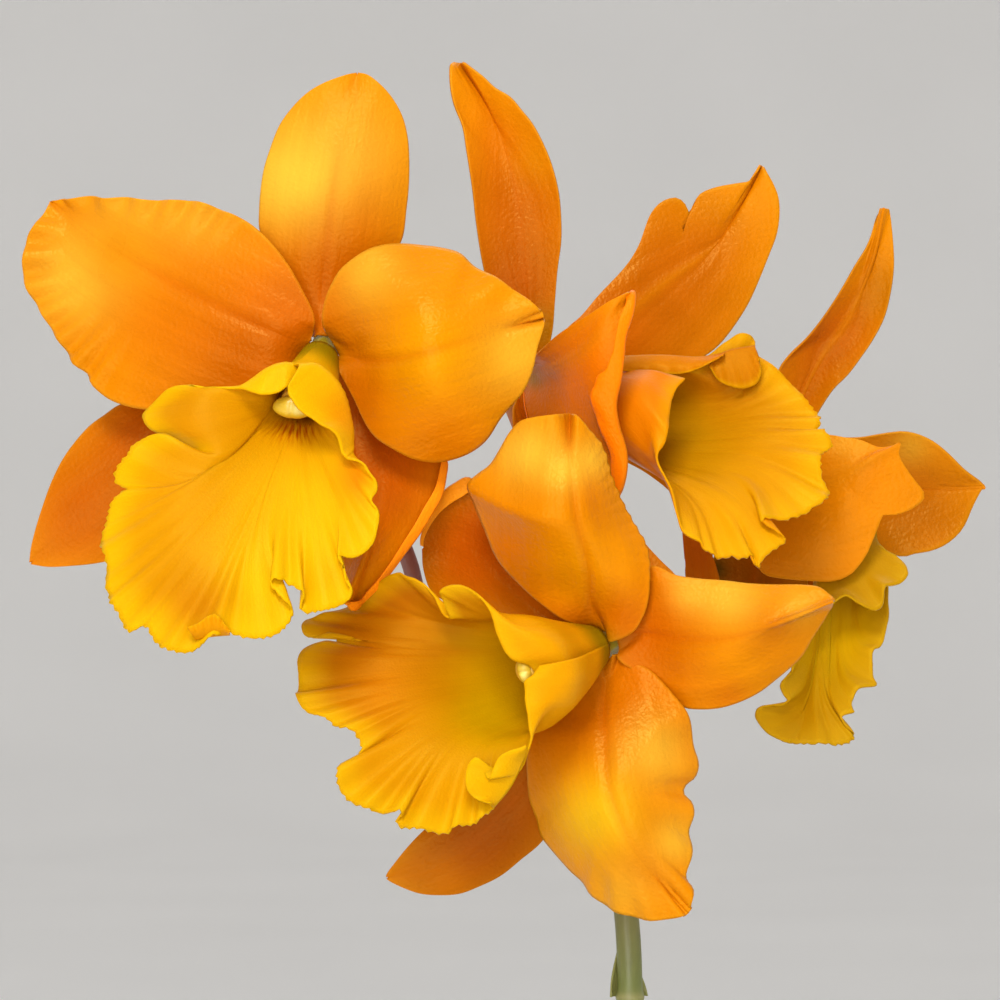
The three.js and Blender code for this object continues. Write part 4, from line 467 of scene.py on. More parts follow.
                right=[(61.5, 4.5), (68, -6), (76, -9.7), (80.5, -11.3), (83, -10.7), (86, -10.2), (89, -9),
                       (91.5, -7), (93, -5), (94.5, -1.5), (95.5, 0.5)],
                rise=((0, 1, 3, 1.4, 0), (0, 1, 3, 1.4, 0)), groove=0.25,
                paint=[(82, 10.5, 4, HIGHLIGHT_PEACH, 0.4), (85, -4, 12, (196, 104, 4), 0.85)]),
            "lateral_sepal_left": dict(
                sepal=True, turn=142, tip=(50, -31, -44),
                rib=[(52, -3, -51), (51, -15, -50), (50.5, -24, -47)],
                left=[(54, 1), (59, -9), (61.5, -18), (56, -26)],
                right=[(50, 0), (44.5, -7), (42.4, -14), (44, -23)],
                rise=((0, 1, 1, 0), (0, 1, 1, 0)), groove=0.3,
                paint=[(50, -14, 12, (150, 76, 20), 0.8), (43, -14, 2.4, (64, 70, 44), 0.9)]),
            "lateral_sepal_right": dict(
                sepal=True, turn=240, tip=(66, -34, -54),
                rib=[(60, -4, -51), (64, -15, -53), (66, -26, -54)],
                left=[(63, 2), (69, -9), (72, -20), (70, -29)],
                right=[(57.5, -3), (59, -13), (61, -24)],
                rise=((0, 0, 0, 0), (0, 0, 0, 0)), groove=0.3,
                paint=[(65, -20, 12, DEEP, 0.7)]),
        },
        "tube": ((60.5, 1.6, -41), 6.5), "throat": ((67.5, -6, -36.5), 8.5),
        # Bloom 4's lip is given duller yellows than the other lips: painted shade, for that lip lies in the shade of
        # the petal above. Its first lip_paint patch is painted light where the hood's shade falls.
        "shapes": WIDE_TUBE, "inside": (200, 148, 10), "outside": (206, 152, 18), "deep": (180, 130, 10),
        "rim": (232, 182, 40), "seed": 33, "waves": (0.15, 18), "folds": 0.05, "fringe": (180, 205),
        "ruffles": [(182, 206, 0.5, 2), (206, 280, 0.3, 4)],
        "fold": [],
        "lip_paint": [(67, -25, 10, (255, 204, 20), 1.0), (60, -45, 6, (206, 148, 10), 0.5),
                      (76, -13, 5, (222, 160, 14), 0.7)],
        "lip": [
            (15, (75, -7, -31), -30, [(75.5, -8.8)]),
            (42, (75, -10.5, -28), -25, [(77, -10), (80, -11.7), (81.5, -13.5)]),
            (70, (73, -14.5, -26), -22, [(81.8, -15), (80.5, -16.5), (78.5, -17.3), (77.2, -17.5)]),
            (95, (68, -17.5, -25), -21, [(76.5, -21.5), (75, -22.3), (72, -21), (69, -19)]),
            (120, (63, -21, -25), -20, [(64, -24), (60.5, -29), (58.3, -33)]),
            (144, (61.6, -31, -24.6), -19, [(58, -34.8), (56.2, -36.4)]),
            (156, (61.4, -36, -24), -18.6, [(55.9, -37.6), (56.6, -39), (57.5, -40.3)]),
            (166, (60, -41.6, -23.2), -18.2, [(56, -41.3), (54, -41), (52.2, -41.3), (51.1, -42)]),
            (178, (60.6, -43.4, -23), -18, [(50.8, -43.5), (52, -45.5), (54.5, -47.5), (57, -48.7), (58, -48.8)]),
            (192, (64.5, -40, -23.5), -18, [(60, -49), (63, -49.4), (66, -49.3), (68.5, -49.3)]),
            (212, (66.5, -38, -24.5), -20, [(70.5, -48.7), (71.1, -48), (70.2, -46.8), (68.6, -44.6), (68.5, -43.6),
                                        (71.2, -42.7)]),
            (236, (69.5, -33, -27), -23, [(70.4, -41), (70.6, -39.7), (71.5, -38.5), (73, -37.7), (75.6, -36.9)]),
            (262, (72.5, -26, -30.5), -28, [(74.8, -35.5), (74.7, -33), (75, -30.3), (76.2, -29.2), (77, -28)]),
            (292, (75, -13, -36), -32, [(77.6, -25), (77.8, -22), (77.6, -18.5)]),
            (345, (75.3, -8.2, -35), -33, [(77, -14), (76, -10.5)]),
        ],
    },
]


# Curves

def smooth(x, low=0.0, high=1.0):
    """A share that eases from zero at low to one at high."""
    t = np.clip((np.asarray(x, float) - low) / (high - low), 0, 1)
    return t * t * (3 - 2 * t)


def spline(points, per=14):
    """Dense points on a centripetal spline through the points, whose first axis runs along it."""
    p = np.asarray(points, float)
    q = np.concatenate([2 * p[:1] - p[1:2], p, 2 * p[-1:] - p[-2:-1]])
    d = np.maximum(np.sum((q[1:] - q[:-1]) ** 2, -1, keepdims=True) ** 0.25, 1e-6)
    found = []
    for k in range(len(p) - 1):
        x0, x1, x2, x3 = q[k:k + 4]
        d0, d1, d2 = d[k:k + 3]
        t1 = ((x1 - x0) / d0 - (x2 - x0) / (d0 + d1) + (x2 - x1) / d1) * d1
        t2 = ((x2 - x1) / d1 - (x3 - x1) / (d1 + d2) + (x3 - x2) / d2) * d1
        bend = -3 * x1 + 3 * x2 - 2 * t1 - t2
        twist = 2 * x1 - 2 * x2 + t1 + t2
        for s in np.arange(per) / per:
            found.append(x1 + s * (t1 + s * (bend + s * twist)))
    found.append(p[-1])
    return np.array(found)


def at_shares(dense, lengths, shares):
    return np.stack([np.interp(shares, lengths, dense[:, k]) for k in range(3)], -1)


def by_length(dense, shares):
    """Points at shares of a dense curve's length."""
    steps = np.linalg.norm(np.diff(dense, axis=0), axis=1)
    run = np.concatenate([[0], np.cumsum(steps)])
    return at_shares(dense, run / run[-1], shares)


def by_index(dense, shares):
    """Points at shares of a dense curve's points, counted evenly."""
    return at_shares(dense, np.linspace(0, 1, len(dense)), shares)


def between(keys, shares):
    """Values eased between evenly spaced keys."""
    place = np.asarray(shares, float) * (len(keys) - 1)
    low = np.clip(np.floor(place).astype(int), 0, len(keys) - 2)
    t = smooth(place - low)
    keys = np.asarray(keys, float)
    return keys[low] * (1 - t) + keys[low + 1] * t


def seen(p):
    """The place in the row frame of points given as seen from the front."""
    nearer = (VIEW_DISTANCE - p[..., 2]) / VIEW_DISTANCE
    return np.stack([p[..., 0] * nearer, VIEW_FRONT - p[..., 2], VIEW_HEIGHT + p[..., 1] * nearer], -1)


def unit(v):
    """The vector at a length of one."""
    return v / np.maximum(np.linalg.norm(v, axis=-1, keepdims=True), 1e-9)


def srgb(*colour):
    """Linear light from a colour counted to 255."""
    c = np.asarray(colour, float) / 255
    return np.where(c <= 0.04045, c / 12.92, ((c + 0.055) / 1.055) ** 2.4)


def mixed(a, b, t):
    """Colours from a to b by the share t."""
    t = np.asarray(t, float)[..., None]
    return a * (1 - t) + b * t


def bell(x, middle, width):
    """One at the middle, eased to nothing on both sides of it."""
    return np.exp(-((x - middle) / width) ** 2)


def window(x, start, end, soft):
    """One between start and end, and nothing outside them, with soft sides."""
    return smooth(x, start - soft, start + soft) * (1 - smooth(x, end - soft, end + soft))


def round_turn(sides):
    """Evenly spaced turns."""
    return 2 * np.pi * np.arange(sides) / sides


def circle(radius, turn, height):
    """Points round the upright axis."""
    return np.stack([radius * np.cos(turn), radius * np.sin(turn), height + 0 * radius * turn], -1)


def swelled(rings, factor):
    """Rings grown about their middles."""
    middle = rings.mean(1, keepdims=True)
    return middle + (rings - middle) * factor


# Meshes

def make_object(name, vertices, faces, material, uv=None, tint=None):
    """A mesh object from points in millimetres, with its coordinates and its colours for each point."""
    mesh = bpy.data.meshes.new(name)
    vertices = np.asarray(vertices, np.float32).reshape(-1, 3) * MM
    faces = [tuple(int(k) for k in face) for face in faces]
    mesh.from_pydata(vertices.tolist(), [], faces)
    mesh.polygons.foreach_set("use_smooth", np.ones(len(faces), bool))
    corners = np.zeros(len(mesh.loops), np.int32)
    mesh.loops.foreach_get("vertex_index", corners)
    if uv is not None:
        layer = mesh.uv_layers.new(name="UVMap")
        layer.data.foreach_set("uv", np.asarray(uv, np.float32)[corners].ravel())
    if tint is not None:
        layer = mesh.color_attributes.new(name="tint", type="FLOAT_COLOR", domain="POINT")
        full = np.ones((len(vertices), 4), np.float32)
        full[:, :3] = tint
        layer.data.foreach_set("color", full.ravel())
    mesh.materials.append(material)
    mesh.update()
    made = bpy.data.objects.new(name, mesh)
    bpy.context.scene.collection.objects.link(made)
    return made


def put(made, node):
    """The piece stands for its CAD node, and rides with it."""
    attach(made, "root")
    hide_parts(node)


def grid_normals(p):
    return unit(np.cross(np.gradient(p, axis=1), np.gradient(p, axis=0)))


def facing_normals(p, face):
    """The grid's normals on the side where face looks, and whether they had to be turned round for it."""
    normal = grid_normals(p)
    turned = np.sum(normal * face) < 0
    return (-normal if turned else normal), turned


def grid_faces(rows, columns):
    a = (np.arange(rows - 1)[:, None] * columns + np.arange(columns - 1)[None, :]).ravel()
    return np.stack([a, a + 1, a + columns + 1, a + columns], -1)


def closed_faces(rows, columns, flip=False):
    """Faces of two grids of points, back to back, with a band between their edges."""
    count = rows * columns
    rim = list(range(columns))
    rim += [row * columns + columns - 1 for row in range(1, rows)]
    rim += [(rows - 1) * columns + column for column in range(columns - 2, -1, -1)]
    rim += [row * columns for row in range(rows - 2, 0, -1)]
    a = np.array(rim)
    b = np.roll(a, -1)
    front = grid_faces(rows, columns)
    band = np.stack([b, a, a + count, b + count], -1)
    if flip:
        return np.concatenate([front[:, ::-1], front + count, band[:, ::-1]])
    return np.concatenate([front, front[:, ::-1] + count, band])


def band_faces(rows, sides):
    """Faces between closed rings in a row."""
    faces = []
    for row in range(rows - 1):
        for k in range(sides):
            a, b = row * sides + k, row * sides + (k + 1) % sides
            faces.append((a, b, b + sides, a + sides))
    return faces


def blade(name, p, face, thick, material, uv, tint_face, tint_back):
    """A closed blade of the given thickness about a grid of points. face says where the grid's front looks."""
    rows, columns = p.shape[:2]
    normal, flip = facing_normals(p, face)
    half = 0.5 * thick[..., None] * normal
    vertices = np.concatenate([(p + half).reshape(-1, 3), (p - half).reshape(-1, 3)])
    uv = np.concatenate([uv.reshape(-1, 2)] * 2)
    tint = np.concatenate([tint_face.reshape(-1, 3), tint_back.reshape(-1, 3)])
    return make_object(name, vertices, closed_faces(rows, columns, flip), material, uv, tint)


def tube_rings(path, radii, sides, steps):
    """Rings of points round a dense path, with radii eased between keys."""
    shares = np.linspace(0, 1, steps + 1)
    middle = by_length(path, shares)
    tangent = unit(np.gradient(middle, axis=0))
    radius = between(radii, shares)
    turn = round_turn(sides)[:, None]
    side = unit(np.cross(tangent[0], [0.3, 1, 0.2]))
    rings = []
    for k in range(steps + 1):
        side = unit(side - tangent[k] * np.dot(side, tangent[k]))
        other = np.cross(tangent[k], side)
        rings.append(middle[k] + radius[k] * (np.cos(turn) * side + np.sin(turn) * other))
    return np.array(rings)


def ring_mesh(rings):
    """Vertices and faces of closed rings in a row, with a middle point at each end."""
    rows, sides = rings.shape[:2]
    vertices = np.concatenate([rings.reshape(-1, 3), rings[:1].mean(1), rings[-1:].mean(1)])
    faces = band_faces(rows, sides)
    foot, top = rows * sides, rows * sides + 1
    last = (rows - 1) * sides
    for k in range(sides):
        faces.append((foot, (k + 1) % sides, k))
        faces.append((top, last + k, last + (k + 1) % sides))
    return vertices, faces


class Bundle:
    """Several closed forms that become one mesh."""

    def __init__(self):
        self.vertices, self.faces, self.uv, self.tint, self.count = [], [], [], [], 0

    def add(self, vertices, faces, uv, tint):
        self.vertices.append(vertices)
        self.faces += [tuple(k + self.count for k in face) for face in faces]
        self.uv.append(np.broadcast_to(uv, (len(vertices), 2)))
        self.tint.append(np.broadcast_to(tint, (len(vertices), 3)))
        self.count += len(vertices)

    def add_tube(self, rings, tint):
        vertices, faces = ring_mesh(rings)
        rows, sides = rings.shape[:2]
        v, u = np.meshgrid(np.arange(rows) / 10, np.arange(sides) / sides, indexing="ij")
        uv = np.concatenate([np.stack([u, v], -1).reshape(-1, 2), [[0, 0], [0, rows / 10]]])
        if np.ndim(tint) == 2:
            tint = np.concatenate([np.repeat(tint, sides, 0), tint[:1], tint[-1:]])
        self.add(vertices, faces, uv, tint)

    def make(self, name, material):
        return make_object(name, np.concatenate(self.vertices), self.faces, material,
                           np.concatenate(self.uv), np.concatenate(self.tint))


# Materials

def node_tree(name):
    material = bpy.data.materials.new(name)
    material.use_nodes = True
    tree = material.node_tree
    return material, tree, tree.nodes["Principled BSDF"]


def noise(tree, coordinates, scale, detail, rough=0.5, stretch=(1, 1, 1)):
    mapping = tree.nodes.new("ShaderNodeMapping")
    mapping.inputs["Scale"].default_value = stretch
    texture = tree.nodes.new("ShaderNodeTexNoise")
    texture.inputs["Scale"].default_value = scale
    texture.inputs["Detail"].default_value = detail
    texture.inputs["Roughness"].default_value = rough
    tree.links.new(coordinates, mapping.inputs["Vector"])
    tree.links.new(mapping.outputs["Vector"], texture.inputs["Vector"])
    return texture.outputs["Fac"]


def ranged(tree, value, low, high, to_low, to_high):
    node = tree.nodes.new("ShaderNodeMapRange")
    for socket, number in (("From Min", low), ("From Max", high), ("To Min", to_low), ("To Max", to_high)):
        node.inputs[socket].default_value = number
    tree.links.new(value, node.inputs["Value"])
    return node.outputs["Result"]


def joined(tree, operation, a, b):
    node = tree.nodes.new("ShaderNodeMath")
    node.operation = operation
    tree.links.new(a, node.inputs[0])
    tree.links.new(b, node.inputs[1])
    return node.outputs["Value"]


def scaled_colour(tree, colour, factor):
    node = tree.nodes.new("ShaderNodeVectorMath")
    node.operation = "SCALE"
    tree.links.new(colour, node.inputs[0])
    tree.links.new(factor, node.inputs["Scale"])
    return node.outputs["Vector"]


def bump(tree, shader, height, distance):
    node = tree.nodes.new("ShaderNodeBump")
    node.inputs["Distance"].default_value = distance
    node.inputs["Strength"].default_value = 1.0
    tree.links.new(height, node.inputs["Height"])
    tree.links.new(node.outputs["Normal"], shader.inputs["Normal"])


def living(name, stretch, streak, mottle, cell, relief, rough, grain=0.45, **numbers):
    """Plant tissue: the piece's colours, which on the blooms hold painted highlights and painted shade besides their
    own colour, with fine veins along it, mottling and small cells.

    stretch scales the coordinates that the veins follow; streak and mottle are how far they change the colour;
    cell is the size of the cells in metres; relief is the depth of the veins in metres, and grain is the depth of
    the cells as a share of it.
    """
    material, tree, shader = node_tree(name)
    own = tree.nodes.new("ShaderNodeAttribute")
    own.attribute_name = "tint"
    uv = tree.nodes.new("ShaderNodeUVMap")
    uv.uv_map = "UVMap"
    place = tree.nodes.new("ShaderNodeTexCoord").outputs["Object"]
    veins = noise(tree, uv.outputs["UV"], 1.0, 2.5, 0.62, stretch)
    patches = noise(tree, place, 95, 1.0)
    cells = noise(tree, place, 1 / cell, 1.0)
    shade = joined(tree, "MULTIPLY", ranged(tree, veins, 0.3, 0.7, 1 - streak, 1 + streak),
                   ranged(tree, patches, 0.3, 0.7, 1 - mottle, 1 + mottle))
    tree.links.new(scaled_colour(tree, own.outputs["Color"], shade), shader.inputs["Base Color"])
    tree.links.new(ranged(tree, patches, 0.3, 0.7, rough - 0.05, rough + 0.07), shader.inputs["Roughness"])
    height = joined(tree, "ADD", ranged(tree, veins, 0, 1, 0, 1), ranged(tree, cells, 0, 1, 0, grain))
    bump(tree, shader, height, relief)
    for socket, number in numbers.items():
        shader.inputs[socket.replace("_", " ")].default_value = number
    return material


# Colours

def painted(p, colour, patches):
    """The colour of points as seen, with soft patches laid over it: own colour, painted highlights and painted shade.
    """
    for x, z, size, over, strength in patches:
        away = ((p[..., 0] - x) ** 2 + (p[..., 1] - z) ** 2) / size ** 2
        colour = mixed(colour, srgb(*over), strength * np.exp(-away))
    return colour


# Blooms

def bloom_frame(bloom):
    """Points round a bloom's axis: by the turn from its dorsal side, the distance out, and the way ahead."""
    centre = np.array(bloom["centre"], float)
    ahead = unit(np.array(bloom["facing"], float))
    dorsal = np.array(bloom["tepals"]["dorsal_sepal"]["tip"], float) - centre
    dorsal = unit(dorsal - ahead * np.dot(dorsal, ahead))
    across = np.cross(ahead, dorsal)

    def at(turn, out, forward, origin=centre):
        turn = np.asarray(turn, float)[..., None]
        out = np.asarray(out, float)[..., None]
        return dorsal * out * np.cos(turn) + across * out * np.sin(turn) + ahead * forward + origin

    return at


def flat(points):
    return [(x, z, 0.0) for x, z in points]


def tepal_grid(at, tepal):
    """A petal or sepal as seen: rows from base to tip, columns from the left edge to the right one."""
    turn = math.radians(tepal["turn"])
    tip = tepal["tip"]
    base = at(turn, TEPAL_BASE_RADIUS, SEPAL_AHEAD if tepal.get("sepal") else PETAL_AHEAD)
    side = at(turn + math.pi / 2, 1, 0, np.zeros(3))
    rib = spline([base, *tepal["rib"], tip])
    first = np.subtract(flat(tepal["left"])[0], flat(tepal["right"])[0])
    half = 0.5 * TEPAL_BASE_WIDTH * np.sign(np.dot(first, side))
    along = TEPAL_REACH * np.linspace(0, 1, TEPAL_ROWS)
    middle = by_length(rib, along)
    edges = []
    for k, name in enumerate(("left", "right")):
        start = base + side * half * (1 - 2 * k)
        edges.append(by_length(spline([start, *flat(tepal[name]), tip]), along))
    left, right = edges
    open_share = np.linalg.norm((left - right)[:, :2], axis=1)
    open_share = smooth(open_share, 0, 0.9 * open_share.max())
    for k, edge in enumerate(edges):
        depth = middle[:, 2] + between(tepal["rise"][k], along) * open_share
        settled = smooth(along, 0, 0.12)
        edge[:, 2] = edge[0, 2] * (1 - settled) + depth * settled
    spans = [np.linalg.norm(edge - middle, axis=1) for edge in (left, right)]
    rib_at = np.clip(spans[0] / (spans[0] + spans[1]), 0.25, 0.75)[:, None]
    across = 0.5 - 0.5 * np.cos(np.linspace(0, 1, TEPAL_COLUMNS) * np.pi)
    across = (0.45 * across + 0.55 * np.linspace(0, 1, TEPAL_COLUMNS))[None, :]
    share = np.where(across < 0.5, 2 * across * rib_at, rib_at + (2 * across - 1) * (1 - rib_at))
    of_left = (share - rib_at) * (share - 1) / rib_at
    of_middle = share * (share - 1) / (rib_at * (rib_at - 1))
    of_right = share * (share - rib_at) / (1 - rib_at)
    p = of_left[..., None] * left[:, None] + of_middle[..., None] * middle[:, None]
    p = p + of_right[..., None] * right[:, None]
    return p, share, rib_at, along[:, None], sum(spans)[:, None]


def make_tepal(name, at, tepal, green, seed):
    """A petal or sepal with its groove, ripples and turned edge. green is the patch round its foot: x, z, size."""
    p, share, rib_at, along, width = tepal_grid(at, tepal)
    from_rib = (share - rib_at) * width
    outward = np.where(share < rib_at, (rib_at - share) / rib_at, (share - rib_at) / (1 - rib_at))
    fade = smooth(along, 0.02, 0.2) * (1 - smooth(along, 0.5, 0.84))
    groove = tepal["groove"] * fade
    lift = -groove * bell(from_rib, 0, 1.3) + 0.35 * groove * np.exp(-((np.abs(from_rib) - 2.6) / 1.6) ** 2)
    wander = 1.7 * np.sin(2.1 * along + seed) + seed
    lift = lift + 0.07 * np.sin(from_rib * 1.15 + wander) * smooth(width, 6, 16) * (1 - along * 0.6)
    for which, start, end, height, count in tepal.get("ripple", []):
        hand = share < rib_at if which == "left" else share > rib_at
        phase = 2 * np.pi * count * (along - start) / (end - start) + 0.9 * np.sin(9 * along + seed)
        height = height * hand * window(along, start, end, 0.06)
        lift = lift + height * np.sin(phase) * smooth(outward, 0.35, 1) ** 1.4
    colour = np.broadcast_to(srgb(*ORANGE), p.shape)
    colour = mixed(colour, srgb(*DEEP), 0.55 * (1 - smooth(along, 0.04, 0.42)))
    colour = mixed(colour, srgb(*GOLD), 0.75 * smooth(outward, 0.3, 0.95) * smooth(along, 0.15, 0.6))
    colour = mixed(colour, srgb(*GOLD), 0.5 * smooth(along, 0.6, 1))
    # The paint patches: the tepal's own colour, painted highlights and painted shade.
    colour = painted(p, colour, tepal["paint"])
    # Painted shade along a groove, and a painted highlight along a raised rib.
    rib_shading = DEEP if tepal["groove"] > 0 else GOLD
    colour = mixed(colour, srgb(*rib_shading), 0.3 * bell(from_rib, 0, 1.1) * fade)
    colour = painted(p, colour, [(*green, GREEN, 0.6)])
    # A pale line along the margin: a painted highlight.
    colour = mixed(colour, srgb(255, 186, 80), 0.3 * smooth(outward, 0.96, 1))
    colour = colour * np.array(PETAL_TONE)
    back = mixed(colour, srgb(204, 108, 8), np.full(share.shape, 0.25))
    back = mixed(back, srgb(186, 134, 20), 0.2 * bell(from_rib, 0, 2.2) * (1 - 0.5 * along))
    placed = seen(p)
    face = at(0, 0, 1, np.zeros(3))
    face = np.array([face[0], -face[2], face[1]])
    normal, _ = facing_normals(placed, face)
    placed = placed + lift[..., None] * normal
    thick = 0.45 + 0.65 * (1 - smooth(outward, 0, 1)) * smooth(width, 3, 18) * (1 - 0.45 * along)
    uv = np.stack([from_rib / 30 + seed, along * np.ones_like(share)], -1)
    if "turned" in tepal:
        placed, thick, uv, colour, back = turn_edge(placed, thick, uv, colour, back, normal, tepal["turned"])
    return blade(name, placed, face, thick, PETAL, uv, colour, back)


def turn_edge(p, thick, uv, colour, back, normal, turned):
    """Carries the blade on round a small roll and back over itself. The widths are keyed from base to tip."""
    which, widths, tone = turned
    if which == "left":
        p, thick, uv, colour, back, normal = (a[:, ::-1] for a in (p, thick, uv, colour, back, normal))
    rows = p.shape[0]
    width = between(widths, np.linspace(0, 1, rows))[:, None]
    radius = 0.12 + 0.55 * smooth(width, 0.2, 1.6)
    edge = p[:, -1:]
    out = unit(edge - p[:, -5:-4])
    rise = normal[:, -1:] * (1 if normal[:, -1, 1].mean() < 0 else -1)
    curve = np.linspace(0, np.pi, 9)[None, 1:]
    lay = np.linspace(0, 1, 9)[None, 1:]
    round_out = np.concatenate([radius * np.sin(curve), -width * lay], 1)
    round_up = np.concatenate([radius * (1 - np.cos(curve)), 2 * radius + 0.3 * width * lay * (1 - 0.6 * lay)], 1)
    more = edge + out * round_out[..., None] + rise * round_up[..., None]
    extra = more.shape[1]
    strip = np.broadcast_to(srgb(*tone), (rows, extra, 3))
    share = smooth(np.linspace(0, 1, extra), 0, 0.4)[None, :] * np.ones((rows, 1))
    tint = mixed(np.repeat(back[:, -1:], extra, 1), strip, share)
    p = np.concatenate([p, more], 1)
    thick = np.concatenate([thick, np.repeat(thick[:, -1:], extra, 1)], 1)
    shift = np.stack([0.02 * np.arange(1, extra + 1), 0 * np.arange(extra)], -1)
    uv = np.concatenate([uv, uv[:, -1:] + shift[None]], 1)
    return p, thick, uv, np.concatenate([colour, tint], 1), np.concatenate([back, tint], 1)


def lip_grid(bloom, at):
    """The lip as seen: rows from foot to margin, columns round it, and each column's place along the margin."""
    lip = bloom["lip"]
    turns = np.radians([spoke[0] for spoke in lip])
    rings = [at(turns, bloom.get("foot", LIP_FOOT_RADIUS), LIP_FOOT_AHEAD)]
    for (middle, radius), shape in zip((bloom["tube"], bloom["throat"]), bloom["shapes"]):
        radius = (radius + LIP_OVERLAP * (turns / np.pi - 1)) * between(shape, np.clip(turns / (2 * np.pi), 0, 1))
        rings.append(at(turns, radius, 0, np.array(middle, float)))
    rings.append(np.array([spoke[1] for spoke in lip], float))
    margin, spoke_at = [], []
    for k, (_, _, depth, stretch) in enumerate(lip):
        before = lip[max(k - 1, 0)][2]
        for n, (x, z) in enumerate(stretch):
            share = (n + 1) / len(stretch)
            margin.append((x, z, before + (depth - before) * share))
        spoke_at.append(len(margin) - 1)
    spokes, places = [], []
    for low in range(len(lip) - 1):
        count = max(6, 4 * (spoke_at[low + 1] - spoke_at[low]))
        shares = np.arange(count) / count
        spokes += list((low + shares) / (len(lip) - 1))
        places += list((spoke_at[low] + (spoke_at[low + 1] - spoke_at[low]) * shares) / (len(margin) - 1))
    spokes.append(1.0)
    places.append(1.0)
    rings = [by_index(spline(ring), spokes) for ring in rings]
    rings.append(by_index(spline(margin, 8), places))
    dense = spline(rings)
    shares = LIP_REACH * (0.35 * np.linspace(0, 1, LIP_ROWS) ** 0.7 + 0.65 * np.linspace(0, 1, LIP_ROWS))
    grid = np.stack([by_length(dense[:, k], shares) for k in range(dense.shape[1])], 1)
    steps = np.linalg.norm(np.diff(grid[-1], axis=0), axis=1)
    turn = np.interp(np.array(spokes) * (len(lip) - 1), np.arange(len(lip)), [spoke[0] for spoke in lip])
    return grid, shares[:, None], np.concatenate([[0], np.cumsum(steps)])[None, :], turn[None, :]


def make_lip(name, at, bloom):
    """The lip, from its rolled foot to its ruffled and toothed margin."""
    p, along, run, turn = lip_grid(bloom, at)
    rng = np.random.default_rng(bloom["seed"])
    total = run[0, -1]
    phases = rng.uniform(0, 2 * np.pi, 6)
    u = run / total
    height, count = bloom["waves"]
    wave = np.sin(2 * np.pi * count * u + phases[0] + 1.6 * np.sin(2 * np.pi * 5 * u + phases[1]))
    ends = smooth(u, 0, 0.02) * (1 - smooth(u, 0.98, 1))
    lift = height * wave * ends * smooth(along, 0.78, 1) ** 1.5
    for start, end, height, count in bloom["ruffles"]:
        phase = 2 * np.pi * count * (turn - start) / (end - start)
        phase = phase + 0.8 * np.sin(2.3 * phase / count + phases[5])
        lift = lift + window(turn, start, end, 6) * height * np.sin(phase) * smooth(along, 0.6, 1) ** 1.6
    folds = np.sin(2 * np.pi * total / 13 * u + phases[3] + 1.2 * np.sin(2 * np.pi * 3 * u))
    lift = lift + bloom["folds"] * folds * smooth(along, 0.4, 0.6) * (1 - 0.5 * smooth(along, 0.85, 1))
    placed = seen(p)
    inward = seen(at(0, 0, 40)) - placed
    normal, _ = facing_normals(placed, inward)
    placed = placed + lift[..., None] * normal
    fringe = np.sin(2 * np.pi * total / 1.7 * u + phases[4] + 2.2 * np.sin(2 * np.pi * 11 * u))
    outward = unit(placed[-1] - placed[-3])
    toothed = window(turn, *bloom["fringe"], 8)
    reach = ((0.02 + 0.24 * toothed) * (1 + fringe) * ends)[0][None, :, None] * smooth(along, 0.965, 0.99)[..., None]
    placed = placed - reach * outward[None]
    inside = np.broadcast_to(srgb(*bloom["inside"]), p.shape)
    # The lip_paint patches: the lip's own colour, painted light and painted shade.
    inside = painted(p, inside, bloom["lip_paint"])
    # Toward the foot the throat's deep colour; in bloom 2 it is lighter than the lip, painted light in the shade of
    # the tube.
    deep = 1 - smooth(along, 0.28, 0.6)
    inside = mixed(inside, srgb(*bloom["deep"]), 0.6 * deep)
    inside = mixed(inside, srgb(*BRICK), 0.25 * (1 - smooth(along, 0.05, 0.3)))
    if "streaks" in bloom:
        x, z, wide, tall = bloom["streaks"]
        bearing = (p[..., 0] - x) / (z + 6 - np.minimum(p[..., 1], z + 4))
        fan = np.sin(27 * bearing + 1.2 * np.sin(2.1 * p[..., 1])) + 0.7 * np.sin(62 * bearing + 1)
        spot = np.exp(-((p[..., 0] - x) / wide) ** 2 - ((p[..., 1] - z) / tall) ** 2)
        inside = mixed(inside, srgb(184, 60, 2), np.clip(spot * (0.5 + 0.5 * fan), 0, 0.9))
    edge = smooth(along, 0.86, 0.985)
    inside = mixed(inside, srgb(*bloom["rim"]), 0.6 * edge)
    outside = np.broadcast_to(srgb(*bloom["outside"]), p.shape)
    outside = painted(p, outside, bloom.get("outside_paint", []))
    outside = mixed(outside, srgb(134, 120, 10), 0.85 * (1 - smooth(along, 0.08, 0.34)))
    outside = mixed(outside, srgb(*bloom["rim"]), 0.4 * edge)
    inside, outside = inside * np.array(LIP_TONE), outside * np.array(LIP_TONE)
    thick = (0.42 + 0.5 * (1 - smooth(along, 0.2, 0.9))) * np.ones_like(u)
    uv = np.stack([np.broadcast_to(run / 50, thick.shape), np.broadcast_to(along, thick.shape)], -1)
    return blade(name, placed, inward, thick, LIP, uv, inside, outside)


